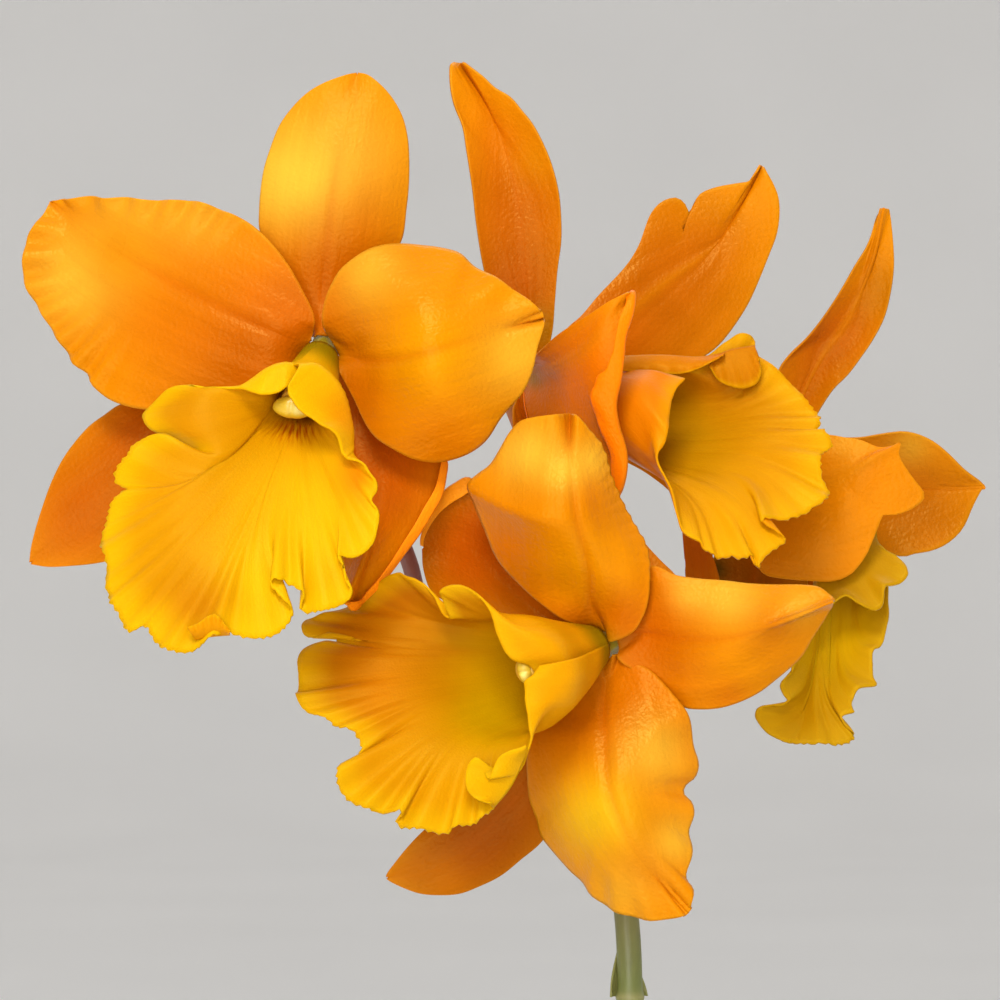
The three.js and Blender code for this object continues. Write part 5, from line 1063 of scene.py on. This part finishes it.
def make_fold(name, base, margin, depth, colour):
    """A part of the margin that is folded over the lip's face, as seen, from the fold to its free edge."""
    rows, columns = 16, 60
    shares = np.linspace(0, 1, columns)
    first = by_length(spline([(x, z, depth[0]) for x, z in base]), shares)
    last = by_length(spline([(x, z, depth[1]) for x, z in margin]), shares)
    t = np.linspace(0, 1, rows)[:, None]
    p = first[None] * (1 - t[..., None]) + last[None] * t[..., None]
    p[..., 2] += depth[2] * np.sin(np.pi * t) + 0.25 * np.sin(2 * np.pi * 5 * shares)[None, :] * t ** 2
    placed = seen(p)
    ones = np.ones((rows, columns))
    tint = mixed(np.broadcast_to(srgb(*colour), p.shape), srgb(*LEMON), 0.35 * smooth(t, 0.8, 1) * ones)
    tint = tint * np.array(LIP_TONE)
    thick = (0.6 - 0.25 * t) * ones
    uv = np.stack([shares * ones / 5, t * ones], -1)
    return blade(name, placed, np.array([0, -1.0, 0]), thick, LIP, uv, tint, tint * 0.9)


def make_column(name, at, bloom):
    """The column with its anther cap, which has a faint cleft."""
    foot = at(0, 0, COLUMN_AHEAD)
    tip = np.array(bloom["column"], float)
    bend = 0.5 * (foot + tip) + at(math.pi, COLUMN_BEND, 0, np.zeros(3))
    path = seen(spline([foot, bend, tip]))
    shares = np.linspace(0, 1, COLUMN_STEPS + 1)
    rings = tube_rings(path, COLUMN_RADII, 40, COLUMN_STEPS)
    rings = swelled(rings, 1 - 0.55 * smooth(shares, 0.93, 1)[:, None, None] ** 2)
    tint = mixed(srgb(214, 150, 20), srgb(226, 180, 60), smooth(shares, 0.45, 0.85))
    made = Bundle()
    made.add_tube(rings, tint)
    ahead = unit(path[-1] - path[-6])
    up = seen(at(0, 4, 0, tip)) - seen(tip)
    up = unit(up - ahead * np.dot(up, ahead))
    side = np.cross(ahead, up)
    top = path[-1]
    turns, rises = np.meshgrid(np.linspace(0, 2 * np.pi, 61)[:-1], np.linspace(0.01, 0.99, 41) * np.pi)
    wide = np.cos(turns) * np.sin(rises)
    tall = np.sin(turns) * np.sin(rises)
    deep = np.cos(rises)
    size = bloom["cap"]
    cleft = 0.3 * bell(wide, 0, 0.13) * smooth(deep, -0.2, 0.5)
    cap = top - up * 0.5 * size + side * (4.1 * size * wide)[..., None]
    cap = cap + up * (size * tall * np.where(tall > 0, 2.7, 1.9 - 0.5 * wide ** 2))[..., None]
    cap = cap + ahead * (size * (2.2 * deep - cleft))[..., None]
    spot = np.exp(-((wide + 0.25) / 0.3) ** 2 - ((tall - 0.3) / 0.4) ** 2) * (deep > 0)
    tint = mixed(np.broadcast_to(srgb(206, 168, 34), (*wide.shape, 3)), srgb(236, 218, 110), spot)
    tint = mixed(tint, srgb(214, 150, 30), 0.6 * smooth(-tall, 0.35, 0.9))
    vertices, faces = ring_mesh(cap[::-1])
    tint = np.concatenate([tint[::-1].reshape(-1, 3), tint[-1, :1], tint[0, :1]])
    made.add(vertices, faces, np.zeros((len(vertices), 2)), tint)
    return made.make(name, COLUMN)


# Flower stem

def bulb_middle(bulb, share):
    x, y, height, _ = bulb
    share = np.asarray(share, float)
    lean = BULB_LEAN * height * share * share * (x / RHIZOME_HALF)
    return np.stack([x + lean, y + 0 * share, KNOB_TOP + GAP + height * share], -1)


def stem_path():
    foot = bulb_middle(STEM_BULB, 1) + [0, 0, GAP]
    top = seen(np.array([(22, -58, -32), (21.5, -46, -31)], float))
    points = [foot, foot + [-0.5, 1, 40], foot + [-1.5, 3, 90], foot + [-1, 5, 140], *top]
    return spline(points)


def bract(place, upward, outward, length, width, made, tint):
    """A small pointed scale that clasps the stem below a stalk."""
    side = np.cross(upward, outward)
    rows, columns = 12, 9
    v, u = np.meshgrid(np.linspace(0, 1, rows), np.linspace(-1, 1, columns), indexing="ij")
    half = width * (1 - v ** 1.6) * 0.5
    wrap = 1.5 * (1 - v) * u
    p = place + upward * (length * v)[..., None] + side * (half * np.sin(wrap * 0.9 + u * 0.3) * 1.6)[..., None]
    p = p + outward * (2.1 * np.cos(wrap) + 1.4 * v ** 2)[..., None]
    half = 0.16 * grid_normals(p)
    vertices = np.concatenate([(p + half).reshape(-1, 3), (p - half).reshape(-1, 3)])
    uv = np.concatenate([np.stack([0.1 * u, 0.4 * v], -1).reshape(-1, 2)] * 2)
    made.add(vertices, closed_faces(rows, columns), uv, tint)


def make_stem():
    """The stem with a swelling and a scale at each node, and the four stalks with their ribbed ovaries."""
    made = Bundle()
    path = stem_path()
    rings = tube_rings(path, STEM_RADII, 28, STEM_STEPS)
    shares = np.linspace(0, 1, STEM_STEPS + 1)
    for node in STEM_NODES:
        rings = swelled(rings, 1 + 0.16 * bell(shares, node, 0.006)[:, None, None])
    tint = mixed(srgb(112, 140, 60), srgb(124, 104, 66), smooth(shares, 0.5, 0.95))
    for node in STEM_NODES:
        tint = mixed(tint, srgb(170, 160, 104), 0.6 * bell(shares, node, 0.005))
    made.add_tube(rings, tint)
    for k, node in enumerate(STEM_NODES):
        place = by_length(path, [node, node + 0.01])
        turn = 2.1 * k
        bract(place[0], unit(place[1] - place[0]), np.array([math.cos(turn), math.sin(turn), 0.0]), 14, 5.5, made,
              srgb(150, 150, 84))
    for bloom, (way, ovary) in zip(BLOOMS, PEDICELS):
        at = bloom_frame(bloom)
        points = [*way, at(0, 0, -ovary), at(0, 0, OVARY_AHEAD)]
        path = seen(spline(points))
        shares = np.linspace(0, 1, STALK_STEPS + 1)
        rings = tube_rings(path, PEDICEL_RADII, STALK_SIDES, STALK_STEPS)
        start = 1 - (ovary + OVARY_AHEAD + 3) / np.linalg.norm(np.diff(path, axis=0), axis=1).sum()
        ribbed = smooth(shares, start - 0.05, start + 0.08) * (1 - smooth(shares, 0.94, 1))
        turn = round_turn(STALK_SIDES)
        ribs = 1 + 0.11 * ribbed[:, None] * (np.cos(6 * turn)[None, :] - 0.3)
        rings = swelled(rings, ribs[..., None])
        tint = mixed(srgb(128, 112, 84), srgb(144, 126, 6), smooth(shares, 0.5, 0.95))
        tint = mixed(tint, srgb(*bloom["stalk"]), 0.75 * smooth(shares, 0.05, 0.3) * (1 - smooth(shares, 0.75, 0.95)))
        made.add_tube(rings, tint)
        start, onward = seen(spline(way)[0]), seen(spline(way)[4])
        out = unit(onward - start)
        bract(start - np.array([0, 0, 3.0]), np.array([0, 0, 1.0]), unit(out * [1, 1, 0] + [0.01, 0, 0]), 9, 5, made,
              srgb(168, 160, 96))
    return made.make("flower_stem_fine", STEM)


def make_sheath():
    path = stem_path()
    length = np.linalg.norm(np.diff(path, axis=0), axis=1).sum()
    along = np.linspace(0, 1, 60)[:, None]
    across = np.linspace(0, 1, 56)[None, :]
    reach = 0.98 * along
    middle = by_length(path, ((1 + SHEATH_HEIGHT * reach) / length)[:, 0])[:, None]
    half = math.radians(SHEATH_WRAP) * (1 - reach ** 2.2)
    turn = math.pi / 2 + half * (2 * across - 1)
    radius = SHEATH_RADIUS + SHEATH_BULGE * np.sin(np.pi * reach)
    radius = radius + 0.12 * np.sin(13 * turn + 5 * reach) + 0.2 * np.sin(9 * reach + 2 * turn) * reach
    p = middle + circle(radius, turn, 0)
    outward = p - middle
    ones = np.ones_like(turn)
    thick = 0.8 - 0.35 * reach * ones
    tint = mixed(srgb(158, 168, 96), srgb(186, 160, 110), smooth(reach, 0.35, 1) * ones)
    tint = mixed(tint, srgb(140, 104, 70), 0.7 * smooth(np.abs(2 * across - 1), 0.86, 1) * ones)
    uv = np.stack([turn, reach * ones], -1)
    made = blade("sheath_fine", p, outward, thick, SHEATH, uv, tint, tint * 0.9)
    put(made, "sheath")


# Pseudobulbs and leaves

def make_bulb(number, bulb):
    x, y, height, girth = bulb
    rows, sides = 64, 112
    shares = np.linspace(0, 1, rows)
    keys = [(0, BULB_FOOT), (0.08, BULB_FOOT + 1), (0.28, 0.86 * girth), (0.5, girth), (0.72, 0.96 * girth),
            (0.9, 0.76 * girth), (1, BULB_NECK)]
    path = spline([(share, radius, 0) for share, radius in keys])
    radius = np.interp(shares, path[:, 0], path[:, 1])
    turn = round_turn(sides)
    furrow = FURROW_DEPTH * np.sin(np.pi * shares)
    ridge = 0.5 - 0.5 * np.cos(FURROWS * turn)
    ridge = ridge ** 1.6
    wrinkle = 0.006 * np.sin(23 * turn[None, :] + 3 * np.sin(5 * shares)[:, None] + number)
    r = radius[:, None] * (1 - furrow[:, None] * ridge[None, :] * 1.25 + wrinkle * furrow[:, None] / FURROW_DEPTH)
    r = r - 0.25 * bell(shares, 0.9, 0.012)[:, None]
    middle = bulb_middle(bulb, shares)
    rings = middle[:, None] + circle(r, turn, 0)
    made = Bundle()
    body = mixed(srgb(150, 144, 66), srgb(116, 140, 50), BULB_YOUTH[number])
    tint = mixed(np.broadcast_to(body, (rows, 3)), srgb(134, 96, 50), 0.6 * (1 - smooth(shares, 0.02, 0.2)))
    tint = mixed(tint, srgb(150, 146, 60), 0.5 * smooth(shares, 0.8, 1))
    made.add_tube(rings, tint)
    # Dry, papery remains of the scales that wrapped the young pseudobulb
    for level, share, tall in ((0, 0.0, 9), (1, 0.13, 7), (2, 0.3, 3.5)):
        if level == 2 and number % 2:
            continue
        top = share + tall / height
        levels = np.linspace(share, top, 8)
        torn = 0.8 * np.sin(3 * turn + number + level) + 0.5 * np.sin(8 * turn + 2 * level + number)
        rise = (levels[:, None] * height + (levels - share)[:, None] / (top - share) * torn[None, :]) / height
        r_at = np.interp(np.clip(rise, 0, 1), shares, radius) + 0.35
        centre = bulb_middle(bulb, np.clip(rise, 0, 1))
        shell = np.concatenate([centre + circle(r_at, turn, 0), centre[-1:] + circle(r_at[-1:] - 1, turn, 0)])
        paper = mixed(srgb(196, 172, 132), srgb(158, 126, 88), 0.3 * level)
        made.add_tube(shell, paper)
    put(made.make(f"pseudobulb_{number + 1}_fine", BULB), f"pseudobulb_{number + 1}")


def make_leaf(number, leaf):
    bulb_number, heading, length, width, rise, droop = leaf
    bulb = BULBS[bulb_number]
    heading = math.radians(heading)
    out = np.array([math.cos(heading), math.sin(heading), 0])
    side = np.array([-math.sin(heading), math.cos(heading), 0])
    away, up = LEAF_BESIDE if bulb is STEM_BULB else LEAF_ON_TOP
    spine = [bulb_middle(bulb, 1) + out * away + [0, 0, up]]
    steps = 24
    for k in range(steps):
        angle = math.radians(rise + (droop - rise) * (k + 0.5) / steps)
        spine.append(spine[-1] + length / steps * (out * math.cos(angle) + np.array([0, 0, math.sin(angle)])))
    rows, columns = 96, 33
    reach = LEAF_REACH * np.linspace(0, 1, rows)
    path = spline(spine, 8)
    middle = by_length(path, reach)
    tangent = unit(by_length(path, np.minimum(reach + 0.01, 1)) - by_length(path, reach - 0.01))
    upward = -np.cross(tangent, side)
    swell = np.sin(np.pi * (0.04 + 0.955 * reach) ** 0.72) ** 0.62
    grown = smooth(reach, 0, 0.3)
    wide = ((LEAF_BASE + (width - LEAF_BASE) * grown) * swell)[:, None]
    a = np.linspace(-1, 1, columns)[None, :]
    fold = LEAF_KEEL * np.sqrt(a * a + 0.012) * (wide / width) * (1 - 0.4 * reach)[:, None]
    lane = 0.5 * wide * a
    fold = fold - 0.45 * bell(lane, 0, 1.1) * smooth(reach, 0.03, 0.15)[:, None]
    wavy = 0.7 * np.sin(9 * reach + number)[:, None] * np.abs(a) ** 2.5 * np.sign(a + 0.3)
    fold = fold + wavy * smooth(reach, 0.15, 0.4)[:, None] * (1 - smooth(reach, 0.85, 1))[:, None]
    notch = 1.2 * bell(lane, 0, 2.5) * smooth(reach, 0.97, 1)[:, None]
    p = middle[:, None] + side * lane[..., None] + upward[:, None] * fold[..., None]
    p = p - tangent[:, None] * notch[..., None]
    ones = np.ones_like(lane)
    along = reach[:, None] * ones
    tint = mixed(np.broadcast_to(srgb(62, 96, 34), p.shape), srgb(88, 120, 46), 0.6 * smooth(along, 0.4, 1))
    tint = mixed(tint, srgb(112, 136, 62), 0.5 * bell(lane, 0, 0.9))
    tint = mixed(tint, srgb(150, 150, 84), 0.5 * smooth(np.abs(a) * ones, 0.955, 1))
    tint = mixed(tint, srgb(132, 138, 70), 0.7 * (1 - smooth(along, 0.01, 0.1)))
    below = mixed(tint, srgb(128, 146, 84), 0.5 * ones)
    thick = 2.0 - 0.8 * np.abs(a) ** 2 * ones - 0.3 * along
    uv = np.stack([0.5 + lane / 50, along * length / 150], -1)
    made = blade(f"leaf_{number + 1}_fine", p, np.array([0, 0, 1.0]), thick, LEAF, uv, tint, below)
    put(made, f"leaf_{number + 1}")


# Rhizome, bark and pot

def make_rhizome():
    made = Bundle()
    points = [(-RHIZOME_HALF, 4, RHIZOME_HEIGHT), *[(x, y, RHIZOME_HEIGHT) for x, y, _, _ in BULBS],
              (RHIZOME_HALF, -3, RHIZOME_HEIGHT)]
    rings = tube_rings(spline(points), [4, 5, 5, 5, 4], 32, STEM_STEPS)
    shares = np.linspace(0, 1, STEM_STEPS + 1)
    scars = 1 + 0.035 * np.sin(2 * np.pi * 34 * shares + 2 * np.sin(19 * shares))
    ends = np.sqrt(np.clip(1 - ((np.abs(2 * shares - 1) - 0.95) / 0.05).clip(0, 1) ** 2, 0.05, 1))
    rings = swelled(rings, (scars * ends)[:, None, None])
    made.add_tube(rings, mixed(srgb(128, 116, 74), srgb(98, 84, 56), 0.5 + 0.5 * np.sin(90 * shares)))
    for k, (x, y, _, _) in enumerate(BULBS):
        levels = np.linspace(0, 1, 12)
        radius = np.interp(levels, [0, 0.45, 1], [6.3, 8.0, 7.2])
        turn = round_turn(40)
        r = radius[:, None] * (1 + 0.02 * np.sin(7 * turn + k)[None, :])
        rise = RHIZOME_HEIGHT + (KNOB_TOP - RHIZOME_HEIGHT) * levels
        knob = circle(r, turn, rise[:, None]) + [x, y, 0]
        made.add_tube(knob, mixed(srgb(120, 100, 60), srgb(150, 138, 82), levels))
        for hand in (-1, 1):
            away = math.radians(90 * hand + 25 * (k - 2))
            out = np.array([math.cos(away), math.sin(away), 0])
            place = np.array([x, y, 0.0])
            way = [place + out * 2 + [0, 0, RHIZOME_HEIGHT], place + out * 8 + [0, 0, RHIZOME_HEIGHT - 1],
                   place + out * 13 + [0, 0, RHIZOME_HEIGHT - 11], place + out * 14 + [0, 0, RHIZOME_HEIGHT - 30]]
            made.add_tube(tube_rings(spline(way), [1.9, 1.7, 1.4], 18, 40), srgb(206, 204, 184))
    put(made.make("rhizome_fine", ROOT), "rhizome")


def pot_outside(z):
    """The radius of the pot's wall at a height, without its band."""
    return POT_FOOT + POT_SLOPE * z


def pot_inside(z):
    return pot_outside(z) - POT_WALL


def make_bark():
    """The bark: a plain fill, with chips laid over its top at all angles."""
    made = Bundle()
    turn = round_turn(96)
    radii = [(pot_inside(BARK_BOTTOM) - 0.4, BARK_BOTTOM), (pot_inside(BARK_TOP - 4) - 0.4, BARK_TOP - 4),
             (pot_inside(BARK_TOP - 4) - 3, BARK_TOP - 3), (10, BARK_TOP - 3)]
    fill = np.array([circle(r, turn, z) for r, z in radii])
    made.add_tube(fill, srgb(58, 36, 22))
    rng = np.random.default_rng(11)
    reach = pot_inside(BARK_TOP)
    for k in range(CHIPS):
        size = rng.uniform(3.6, 9.5) if k % 3 else rng.uniform(8, 12.5)
        out = (reach - 0.92 * size - 0.8) * math.sqrt((k + 0.5) / CHIPS)
        place = circle(out, k * GOLDEN_ANGLE, 0)
        angle = 2 * np.pi * (np.arange(CHIP_SIDES) + rng.uniform(-0.3, 0.3, CHIP_SIDES)) / CHIP_SIDES
        outline = size * rng.uniform(0.72, 1.05, CHIP_SIDES)
        corner = np.stack([outline * np.cos(angle), outline * rng.uniform(0.5, 0.8) * np.sin(angle), 0 * angle], -1)
        deep = rng.uniform(1.4, 3.1)
        rings = []
        for share, rise in ((0.8, -1), (0.97, -0.72), (1.0, -0.1), (0.98, 0.5), (0.84, 0.9), (0.45, 1.0)):
            ring = corner * share
            ring[:, 2] = deep * rise + rng.uniform(-0.22, 0.22, CHIP_SIDES)
            rings.append(ring)
        tilt = Vector((rng.uniform(-0.42, 0.42), rng.uniform(-0.42, 0.42), 1)).normalized()
        turned = np.array(tilt.to_track_quat("Z", "Y").to_matrix()) @ spun(rng.uniform(0, 2 * np.pi))
        rings = np.array(rings) @ turned.T + place
        rings[..., 2] += BARK_TOP + rng.uniform(0.2, 4.4) - rings[..., 2].max()
        colour = mixed(srgb(92, 56, 32), srgb(164, 112, 68), rng.uniform(0, 1))
        if k % 7 == 0:
            colour = srgb(70, 44, 30)
        made.add_tube(rings, colour * rng.uniform(0.85, 1.1))
    put(made.make("bark_fine", BARK), "bark")


def spun(angle):
    c, s = math.cos(angle), math.sin(angle)
    return np.array([[c, -s, 0], [s, c, 0], [0, 0, 1]])


def make_pot():
    """The pot, turned about its axis, with its drain holes cut."""
    band_foot = POT_HEIGHT - POT_BAND
    band_wall = pot_outside(band_foot)
    profile = [(0, 0), (POT_FOOT - 2, 0), (POT_FOOT - 0.7, 0.35), (POT_FOOT, 1.2)]
    profile += [(pot_outside(z), z) for z in np.linspace(8, band_foot - 1, 22)]
    profile += [(band_wall + out, band_foot + up) for out, up in ((0.5, -0.2), (1.9, 0.2), (2.8, 0.9), (3.05, 2))]
    profile += [(pot_outside(z) + POT_BAND_OUT, z) for z in np.linspace(band_foot + 4, POT_HEIGHT - 3, 6)]
    profile += [(POT_RIM - inward, POT_HEIGHT - down) for inward, down in
                ((0.25, 1.2), (0.9, 0.35), (2, 0), (4.5, 0), (5.7, 0.4), (6.5, 1.5))]
    profile += [(pot_inside(z), z) for z in np.linspace(POT_HEIGHT - 6, POT_FLOOR + 1, 16)]
    profile += [(pot_inside(POT_FLOOR) - 1, POT_FLOOR), (0, POT_FLOOR)]
    rings = [circle(max(r, 0.01), round_turn(160), z) for r, z in profile]
    vertices, faces = ring_mesh(np.array(rings))
    pot = make_object("pot_fine", vertices, faces, CLAY)
    for k in range(DRAINS):
        bpy.ops.mesh.primitive_cylinder_add(vertices=40, radius=DRAIN_RADIUS * MM, depth=0.03,
                                            location=circle(DRAIN_FROM_AXIS * MM, DRAIN_STEP * k, 0))
        drill = bpy.context.object
        cut = pot.modifiers.new("drain", "BOOLEAN")
        cut.object = drill
        cut.solver = "EXACT"
        bpy.context.view_layer.objects.active = pot
        bpy.ops.object.modifier_apply(modifier=cut.name)
        bpy.data.objects.remove(drill)
    put(pot, "pot")


def ceramic(name):
    """Fired clay: speckled, with faint turning rings, and pale bloom low down and in scattered patches."""
    material, tree, shader = node_tree(name)
    place = tree.nodes.new("ShaderNodeTexCoord").outputs["Object"]
    speckle = noise(tree, place, 900, 2.0)
    cloud = noise(tree, place, 34, 4.0, 0.6)
    rings = noise(tree, place, 1.0, 3.0, stretch=(4, 4, 260))
    ramp = tree.nodes.new("ShaderNodeValToRGB")
    for stop, position, colour in zip(ramp.color_ramp.elements, (0.32, 0.7), ((150, 78, 46), (196, 120, 80))):
        stop.position = position
        stop.color = (*srgb(*colour), 1)
    tree.links.new(cloud, ramp.inputs["Fac"])
    pale = tree.nodes.new("ShaderNodeMix")
    pale.data_type = "RGBA"
    pale.inputs[7].default_value = (*srgb(214, 184, 158), 1)
    tree.links.new(ramp.outputs["Color"], pale.inputs[6])
    high = tree.nodes.new("ShaderNodeSeparateXYZ")
    tree.links.new(place, high.inputs[0])
    low = ranged(tree, high.outputs["Z"], 0.0, 0.03, 0.55, 0.0)
    patches = noise(tree, place, 60, 5.0, 0.7)
    low = joined(tree, "MULTIPLY", low, ranged(tree, patches, 0.4, 0.6, 0.0, 1.0))
    share = joined(tree, "ADD", low, ranged(tree, patches, 0.58, 0.75, 0.0, 0.35))
    tree.links.new(share, pale.inputs[0])
    shade = ranged(tree, speckle, 0.3, 0.7, 0.9, 1.08)
    tree.links.new(scaled_colour(tree, pale.outputs[2], shade), shader.inputs["Base Color"])
    tree.links.new(ranged(tree, speckle, 0.3, 0.7, 0.8, 0.92), shader.inputs["Roughness"])
    bump(tree, shader, joined(tree, "ADD", speckle, ranged(tree, rings, 0, 1, 0, 1.6)), 0.0004)
    return material


def plain_ground(name, colour):
    """A pale, even floor with the faintest cloud and grain."""
    material, tree, shader = node_tree(name)
    place = tree.nodes.new("ShaderNodeTexCoord").outputs["Object"]
    cloud = noise(tree, place, 3.0, 1.0)
    grain = noise(tree, place, 700, 0.0)
    own = tree.nodes.new("ShaderNodeRGB")
    own.outputs[0].default_value = (*srgb(*colour), 1)
    tree.links.new(scaled_colour(tree, own.outputs[0], ranged(tree, cloud, 0.3, 0.7, 0.985, 1.015)),
                   shader.inputs["Base Color"])
    tree.links.new(ranged(tree, grain, 0.3, 0.7, 0.78, 0.86), shader.inputs["Roughness"])
    return material


PETAL = living("petal_tissue", (24, 1.8, 1), 0.03, 0.05, 0.0008, 0.0001, 0.31, 1.4,
               Specular_IOR_Level=0.4, Specular_Tint=(1.0, 0.7, 0.15, 1.0), IOR=1.35)
LIP = living("lip_tissue", (40, 1.2, 1), 0.03, 0.03, 0.00045, 0.00006, 0.42, 1.0,
             Subsurface_Weight=0.15, Subsurface_Scale=0.002, Subsurface_Radius=(1.0, 0.7, 0.05),
             Specular_IOR_Level=0.22, Specular_Tint=(1.0, 0.8, 0.1, 1.0))
COLUMN = living("column_tissue", (8, 1.2, 1), 0.04, 0.03, 0.0004, 0.0001, 0.34)
STEM = living("stem_skin", (9, 1.5, 1), 0.08, 0.08, 0.0006, 0.00012, 0.42)
SHEATH = living("sheath_paper", (9, 2, 1), 0.14, 0.08, 0.0006, 0.0003, 0.62)
BULB = living("pseudobulb_skin", (5, 1.2, 1), 0.08, 0.12, 0.0011, 0.00025, 0.42)
LEAF = living("leaf_blade", (60, 1.2, 1), 0.07, 0.1, 0.0008, 0.00016, 0.33,
              Coat_Weight=0.12, Coat_Roughness=0.3)
ROOT = living("root_skin", (6, 3, 1), 0.12, 0.14, 0.0007, 0.0005, 0.72)
BARK = living("bark_chips", (3, 1.1, 1), 0.2, 0.3, 0.0009, 0.0011, 0.86)
CLAY = ceramic("terracotta")


# The whole plant

for number, bloom in enumerate(BLOOMS):
    at = bloom_frame(bloom)
    part = f"bloom_{number + 1}"
    green = (*bloom["centre"][:2], bloom.get("green", GREEN_SIZE))
    for k, (tepal_name, tepal) in enumerate(bloom["tepals"].items()):
        node = f"{part}_{tepal_name}"
        put(make_tepal(f"{node}_fine", at, tepal, green, 1.7 * k + 3 * number), node)
    put(make_lip(f"{part}_lip_fine", at, bloom), f"{part}_lip")
    for k, fold in enumerate(bloom["fold"]):
        put(make_fold(f"{part}_lip_fold_{k + 1}", *fold), f"{part}_lip")
    put(make_column(f"{part}_column_fine", at, bloom), f"{part}_column")

put(make_stem(), "flower_stem")
make_sheath()
for number, bulb in enumerate(BULBS):
    make_bulb(number, bulb)
for number, leaf in enumerate(LEAVES):
    make_leaf(number, leaf)
make_rhizome()
make_bark()
make_pot()


# Stage, lights and camera

def make_ground():
    """A pale floor that rises into a wall all round, well away from the plant."""
    profile = [(0.01, 0), (0.4, 0), (1.2, 0), (3, 0), (5, 0)]
    profile += [(5 + 2 * math.sin(a), 2 * (1 - math.cos(a))) for a in np.linspace(0.1, math.pi / 2, 16)]
    profile.append((7.02, 5))
    turn = round_turn(GROUND_SIDES)
    vertices = np.concatenate([circle(r, turn, z) for r, z in profile]) * 1000
    ground = make_object("ground", vertices, band_faces(len(profile), GROUND_SIDES),
                         plain_ground("pale_ground", (250, 249, 248)))


def area_light(name, place, target, size, power, colour):
    light = bpy.data.lights.new(name, "AREA")
    light.shape = "SQUARE"
    light.size = size
    light.energy = power
    light.color = colour
    made = bpy.data.objects.new(name, light)
    made.location = place
    made.rotation_euler = (Vector(target) - Vector(place)).to_track_quat("-Z", "Y").to_euler()
    bpy.context.scene.collection.objects.link(made)


make_ground()
area_light("key", (-0.1, -0.95, 1.25), (0, 0, 0.45), 0.42, 11, (1.0, 0.98, 0.94))
area_light("fill", (-0.25, -1.5, 0.5), (0, 0, 0.42), 0.9, 11, (1.0, 0.98, 0.96))
area_light("top", (0.1, 0.5, 1.6), (0, 0, 0.4), 1.0, 5, (1.0, 0.99, 0.97))

world = bpy.data.worlds.new("studio")
world.use_nodes = True
world.node_tree.nodes["Background"].inputs["Color"].default_value = (1.0, 0.99, 0.97, 1)
world.node_tree.nodes["Background"].inputs["Strength"].default_value = 0.6
bpy.context.scene.world = world
bpy.context.scene.view_settings.view_transform = "Standard"

lens = bpy.data.cameras.new("camera")
lens.lens = 162
lens.sensor_width = 36
lens.clip_start = 0.05
lens.clip_end = 100
camera = bpy.data.objects.new("camera", lens)
camera.location = (0, (VIEW_FRONT - VIEW_DISTANCE) * MM, VIEW_HEIGHT * MM)
camera.rotation_euler = (math.pi / 2, 0, 0)
bpy.context.scene.collection.objects.link(camera)
bpy.context.scene.camera = camera

bpy.context.view_layer.update()
